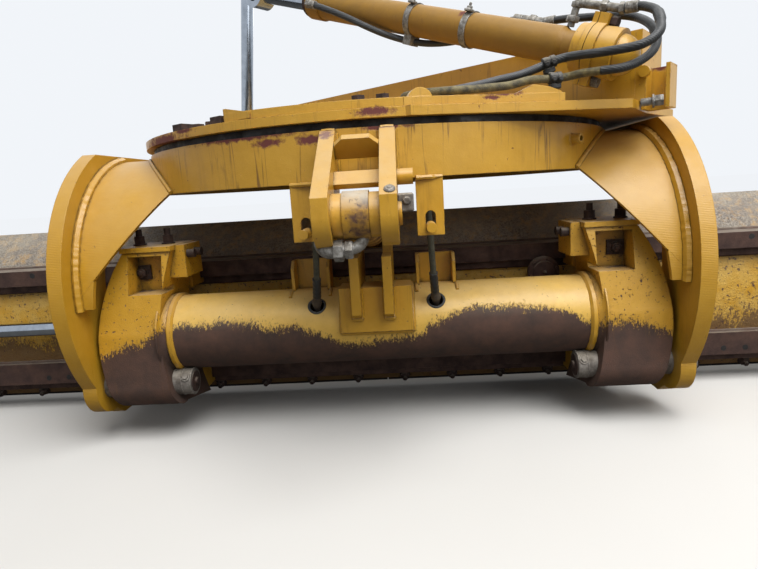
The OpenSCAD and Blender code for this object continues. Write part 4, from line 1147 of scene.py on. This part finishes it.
# %% Tip hoses and their grommets
TIP_ROUTE = [(-508, 326), (-532, 348), (-560, 376), (-584, 404), (-604, 436), (-624, 474), (-644, 512),
             (-663, 552), (-677, 594), (-684, 640)]
HOLE_ANGLE, LEFT_HOLE, RIGHT_HOLE = 43, -168, 164
upper, sleeves, ends = Shape(), Shape(), Shape()
for hole, drift in ((LEFT_HOLE, 38), (RIGHT_HOLE, -16)):
    route = smooth_route([blade(hole + drift * max(0, (z - 376) / 264) ** 0.8, y, z)
                          for y, z in TIP_ROUTE], 8)
    sweep(upper, route, 0.0082, 16)
    sweep(sleeves, route[24:38], lambda i, angle: 0.0112 + 0.0006 * math.sin(i * 2.1), 18)
    sweep(ends, route[10:26], lambda i, angle: 0.0095 + 0.0045 * math.exp(-((i - 9) / 3.2) ** 2), 20)
finish_piece("tip_hoses", upper, "tilt_beam", olive)
finish_piece("tip_hose_sleeves", sleeves, "tilt_beam", rubber)
finish_piece("tip_hose_ends", ends, "tilt_beam", grey_iron)
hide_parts("tilt_hoses")


def torus(shape, centre, axis, radius, thick, sides=40):
    """A closed round ring about an axis."""
    a, b = sideways(axis)
    ids = []
    for i in range(sides):
        angle = 2 * math.pi * i / sides
        out = math.cos(angle) * a + math.sin(angle) * b
        ids.append(shape.ring([centre + out * (radius + thick * math.cos(t)) + axis * thick * math.sin(t)
                               for t in (k * math.pi / 5 for k in range(10))]))
    for i, ring in enumerate(ids):
        shape.wall(ring, ids[(i + 1) % sides])


grommets = Shape()
rise = math.radians(HOLE_ANGLE)
for hole in (LEFT_HOLE, RIGHT_HOLE):
    way = Vector((0, -math.cos(rise), math.sin(rise)))
    torus(grommets, on_tube(hole, HOLE_ANGLE, -4), way, 0.0225, 0.0042)
finish_piece("hole_grommets", grommets, "tilt_beam", rubber)
print("hose faces", added["tip_hoses"])

# %% [markdown]
# ## Hoses of the centre-shift cylinder
# Two thicker hoses leave the cylinder, loop round its ball and run side by side along the plate's edge
# into a port block. The two loops are not attached to a body. The second hose is faded to khaki where it
# lies on the plate, and a rubber ring on each loop keeps the two from chafing.

# %% Centre-shift hoses
FIRST_ROUTE = [(886, -105, 1072), (912, -104, 1070), (936, -108, 1063), (966, -127, 1042), (983, -160, 1002),
               (979, -176, 982), (962, -190, 968), (935, -199, 962), (862, -205, 963), (820, -202, 967),
               (786, -202, 968), (757, -216, 962), (732, -236, 950), (700, -271, 935), (669, -312, 925),
               (637, -351, 915), (605, -390, 907), (570, -423, 901), (540, -437, 900), (514, -436, 899),
               (506, -412, 893), (506, -392, 888), (506, -370, 888)]
SECOND_ROUTE = [(652, -30, 1105), (684, -31, 1104), (724, -34, 1099), (763, -36, 1092), (808, -38, 1084),
                (856, -42, 1075), (902, -52, 1057), (941, -84, 1027), (963, -112, 991), (962, -138, 958),
                (942, -170, 934), (914, -198, 922), (870, -208, 922)]
KHAKI_ROUTE = [(914, -198, 922), (870, -208, 922), (824, -208, 924), (790, -208, 922), (758, -234, 920),
               (727, -273, 919), (696, -314, 908), (665, -354, 904), (635, -394, 901), (605, -433, 900),
               (564, -458, 900), (528, -470, 900), (494, -462, 900), (474, -436, 892), (468, -400, 888),
               (468, -370, 888)]
FIRST_RADIUS, SECOND_RADIUS, KHAKI_RADIUS, RUBBER_RING = 0.0101, 0.0100, 0.0095, (0.0118, 0.0116)
first, second, faded = Shape(), Shape(), Shape()
sweep(first, smooth_route([drawbar(*p) for p in FIRST_ROUTE], 7),
      lambda i, angle: RUBBER_RING[0] if 22 <= i <= 25 else FIRST_RADIUS, 18)
sweep(second, smooth_route([drawbar(*p) for p in SECOND_ROUTE], 7),
      lambda i, angle: RUBBER_RING[1] if 52 <= i <= 55 else SECOND_RADIUS, 18)
sweep(faded, smooth_route([drawbar(*p) for p in KHAKI_ROUTE], 7)[7:], KHAKI_RADIUS, 18)
first_hose = finish_piece("shift_hose_upper", first, None, rubber)
second_hose = finish_piece("shift_hose_lower", second, None, rubber)
finish_piece("shift_hose_faded", faded, "drawbar", khaki)
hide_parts("shift_hoses")
print("hose faces", added["shift_hose_upper"] + added["shift_hose_lower"])

# %% Bake the loops' placement into their meshes
for piece, top in ((first_hose, 1074), (second_hose, 1104)):
    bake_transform(piece)
print("blended", first_hose.name, second_hose.name)

# %% [markdown]
# ## Clamps, couplings and bands
# A pair of steel clamps holds the two hoses to each other beside the cylinder. The hose along the
# cylinder is held by band clamps with a screw each.

# %% Clamps and couplings of the shift hoses
clamps = Shape()
for point, way in (((752, -221, 960), (-32, -24, -10)), ((768, -226, 921), (-31, -33, -1))):
    centre = drawbar(*point)
    way = (drawbar(*[p + w for p, w in zip(point, way)]) - centre).normalized()
    half = ((0.003, 0.0132), (0.004, 0.0142), (0.014, 0.0142), (0.016, 0.0122))
    outline = [(-step, radius) for step, radius in reversed(half)] + list(half)
    clamps.stack([circle_of(centre + way * step, way, radius, 26) for step, radius in outline])
    side_way = way.cross(UP).normalized()
    block(clamps, centre - UP * 0.019, way, side_way, (0.013, 0.009, 0.006))
    for step in (-0.008, 0.008):
        bolt(clamps, centre + way * step - side_way * 0.0155 - UP * 0.004, -side_way, 0.0055, washer=False)
finish_piece("hose_clamps", clamps, "drawbar", motor_black)

ends = Shape()
for route in (FIRST_ROUTE, KHAKI_ROUTE):
    last = drawbar(*route[-1])
    way = last - drawbar(*route[-2])
    coupling(ends, last - way * 0.9, way, 0.0101)
finish_piece("port_couplings", ends, "drawbar", zinc)

swivels = Shape()
for route in (FIRST_ROUTE, SECOND_ROUTE):
    start = drawbar(*route[0])
    coupling(swivels, start + (drawbar(*route[1]) - start) * 0.2, start - drawbar(*route[1]), 0.0104)
steps = {name: (shift_axis(*far) - shift_axis(*near)).normalized()
         for name, near, far in (("up", (0, 0, 0), (0, 0, 1)), ("along", (0, 0, 0), (1, 0, 0)),
                                 ("side", (0, 0, 0), (0, 1, 0)))}
hexagon(swivels, shift_axis(118, 0, 56), steps["up"], 0.0165, 0.014)
hexagon(swivels, shift_axis(118, 0, 90), steps["up"], 0.014, 0.012)
hexagon(swivels, shift_axis(40, 0, 100), steps["along"], 0.0145, 0.016)
hexagon(swivels, shift_axis(252, 70, 52), steps["along"], 0.0175, 0.018)
coupling(swivels, shift_axis(292, 70, 52), -steps["along"], 0.0102)
coupling(swivels, shift_axis(1018, -74, -10), steps["along"], 0.0102)
for s in (410, 616):
    block(swivels, shift_axis(s, -30, 46), steps["along"], steps["side"], (0.011, 0.011, 0.0035))
    bolt(swivels, shift_axis(s, -31, 49), steps["up"], 0.0075, stud=0.01)
    for step in (-9, 9):
        torus(swivels, shift_axis(s + step, 0, 0), steps["along"], 0.0492, 0.0009, 56)
finish_piece("barrel_couplings", swivels, "centre_barrel", zinc)
print("coupling faces", added["barrel_couplings"])

# %% [markdown]
# ## The hose along the cylinder
# A thinner hose runs from the port beside the gland, under the barrel between the two bands, and up to
# the coupling on the far side. It moves with the barrel.

# %% Barrel hose
BARREL_ROUTE = [(1022, -74, -10), (980, -74, -12), (940, -72, -16), (890, -68, -22), (830, -60, -32),
                (770, -48, -44), (710, -32, -54), (660, -14, -59), (616, 0, -60), (570, 22, -56),
                (520, 44, -44), (470, 60, -26), (420, 66, 0), (370, 69, 28), (330, 70, 46), (288, 70, 52)]
thin = Shape()
sweep(thin, smooth_route([shift_axis(*p) for p in BARREL_ROUTE], 7), 0.0099, 16)
thin_hose = finish_piece("barrel_hose_smooth", thin, "centre_barrel", rubber)
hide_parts("barrel_hose")
print("hose faces", added["barrel_hose_smooth"])

# %% [markdown]
# ## Glands, ear bolts, the plate's bolt and pin caps
# A turned gland closes the lift barrel and the centre-shift barrel where the rod comes out, and a nut
# stands on each ear of the centre-shift ball's cap. The plate's right corner carries a long grey bolt, and
# the ends of the pivot pins outside the arms are closed by discs.

# %% Glands and remaining hardware
gland = Shape()
LIFT_LEAN = math.radians(9.6)


def lift_axis(t):
    """A point on the left lift cylinder's axis, by its distance from the ball."""
    return drawbar(-971 + t * math.sin(LIFT_LEAN), 150, 940 + t * math.cos(LIFT_LEAN))


rise_way = (lift_axis(1) - lift_axis(0)).normalized()
gland.stack([circle_of(lift_axis(t), rise_way, radius, 48)
             for t, radius in ((658, 0.0285), (658, 0.040), (662, 0.044), (690, 0.044), (692, 0.041),
                               (700, 0.041), (702, 0.046), (758, 0.046), (760, 0.044))])
finish_piece("lift_gland", gland, "lift_barrel", bolt_steel)

gland = Shape()
gland.stack([circle_of(shift_axis(s, 0, 0), steps["along"], radius, 48)
             for s, radius in ((1075, 0.044), (1077, 0.046), (1090, 0.046), (1092, 0.042), (1098, 0.042),
                               (1099, 0.036), (1099, 0.0283))])
finish_piece("shift_gland", gland, "centre_barrel", bolt_steel)

for name, height, metal, finish in (("ear_bolt_upper", 68, bolt_steel, "bare_steel"),
                                    ("ear_bolt_lower", -68, zinc, "zinc_steel")):
    nut = Shape()
    hexagon(nut, shift_axis(18.5, 0, height), -steps["along"], 0.0155, 0.017)
    finish_piece(name, nut, "centre_barrel", metal)

corner_bolt = Shape()
seat = blade(688, -604, 856)
way = (blade(741, -628, 858) - seat).normalized()
disc(corner_bolt, seat, way, 0.0095, 0.030)
disc(corner_bolt, seat + way * 0.026, way, 0.0165, 0.005)
hexagon(corner_bolt, seat + way * 0.031, way, 0.0145, 0.020)
finish_piece("corner_bolt", corner_bolt, "drawbar", zinc)

caps = Shape()
for side in (-1, 1):
    disc(caps, blade(side * 863.7, PIN_Y, PIN_Z), side * RIGHT, 0.030, 0.0002, edge=0.0001)
    bolt(caps, blade(side * 841, PIN_Y - 50, PIN_Z), side * RIGHT, 0.009)
finish_piece("pin_caps", caps, "circle", bolt_steel)
print("pieces:", len(added))

# %% [markdown]
# ## Floor and light
# The blade stands on a plain pale floor under a bright overcast: a wide soft lamp overhead, weaker ones
# from behind the camera and from ahead of the blade, and an even world. Camera and mirror rays see a
# near-white world, the rest see a weaker one, so the background is bright without more light on the
# machine.

# %% Floor, lamps and world
FLOOR_HALF, GROUND = 40.0, at_height(0) - 0.002
floor_mesh = bpy.data.meshes.new("floor")
floor_mesh.from_pydata([(FLOOR_HALF * a, FLOOR_HALF * b, GROUND)
                        for a, b in ((-1, -1), (1, -1), (1, 1), (-1, 1))], [], [(0, 1, 2, 3)])
floor = bpy.data.objects.new("floor", floor_mesh)
bpy.context.scene.collection.objects.link(floor)
floor_material, tree, shader, place = start_material("pale floor")
rays = add(tree, "LightPath")
away = add(tree, "VectorMath", {0: place, 1: blade(0, 0, 0)}, operation="DISTANCE").outputs["Value"]
distant = maths(tree, "MULTIPLY_ADD", away, 0.33, -0.7, clamp=True)
distant = maths(tree, "MULTIPLY", distant, rays.outputs["Is Camera Ray"])
cloudy = add(tree, "TexNoise", {"Vector": place, "Scale": 0.8, "Detail": 4.0})
pale = blend_colour(tree, cloudy.outputs["Fac"], colour(226, 224, 220), colour(214, 212, 207))
near = blend_colour(tree, rays.outputs["Is Camera Ray"], colour(120, 117, 112), pale)
put(tree, blend_colour(tree, distant, near, (0, 0, 0, 1)), shader.inputs["Base Color"])
put(tree, blend_colour(tree, distant, (0, 0, 0, 1), colour(240, 243, 247)), shader.inputs["Emission Color"])
shader.inputs["Emission Strength"].default_value = 1.0
shader.inputs["Roughness"].default_value = 1.0
shader.inputs["Specular IOR Level"].default_value = 0.0
floor_mesh.materials.append(floor_material)


def lamp(name, place, target, size, power):
    """A square soft lamp aimed at a point."""
    data = bpy.data.lights.new(name, "AREA")
    data.size = size
    data.energy = power
    item = bpy.data.objects.new(name, data)
    item.location = place
    item.rotation_euler = (target - place).to_track_quat("-Z", "Y").to_euler()
    bpy.context.scene.collection.objects.link(item)


middle = blade(0, -400, 450)
lamp("overcast sky", middle + Vector((1.2, -2.4, 4.6)), middle, 4.0, 375)
lamp("open sky behind the camera", middle + Vector((2.7, -2.9, 1.9)), middle, 2.4, 33)
lamp("sky ahead of the blade", middle + Vector((0.5, 4.5, 3.6)), middle, 4.0, 90)

world = bpy.data.worlds.new("overcast")
bpy.context.scene.world = world
world.use_nodes = True
tree = world.node_tree
rays = add(tree, "LightPath")
seen = maths(tree, "MAXIMUM", rays.outputs["Is Camera Ray"], rays.outputs["Is Glossy Ray"])
seen = maths(tree, "MAXIMUM", seen, rays.outputs["Is Transmission Ray"])
strength = maths(tree, "MULTIPLY_ADD", seen, 0.67, 0.28)
background = tree.nodes["Background"]
background.inputs["Color"].default_value = (0.93, 0.96, 1.0, 1)
put(tree, strength, background.inputs["Strength"])
print("lamps:", len(bpy.data.lights))

# %% [markdown]
# ## The added pieces
# The last cell prints every added piece with its number of faces.

# %% Finish
for name, faces in added.items():
    print(name, faces)
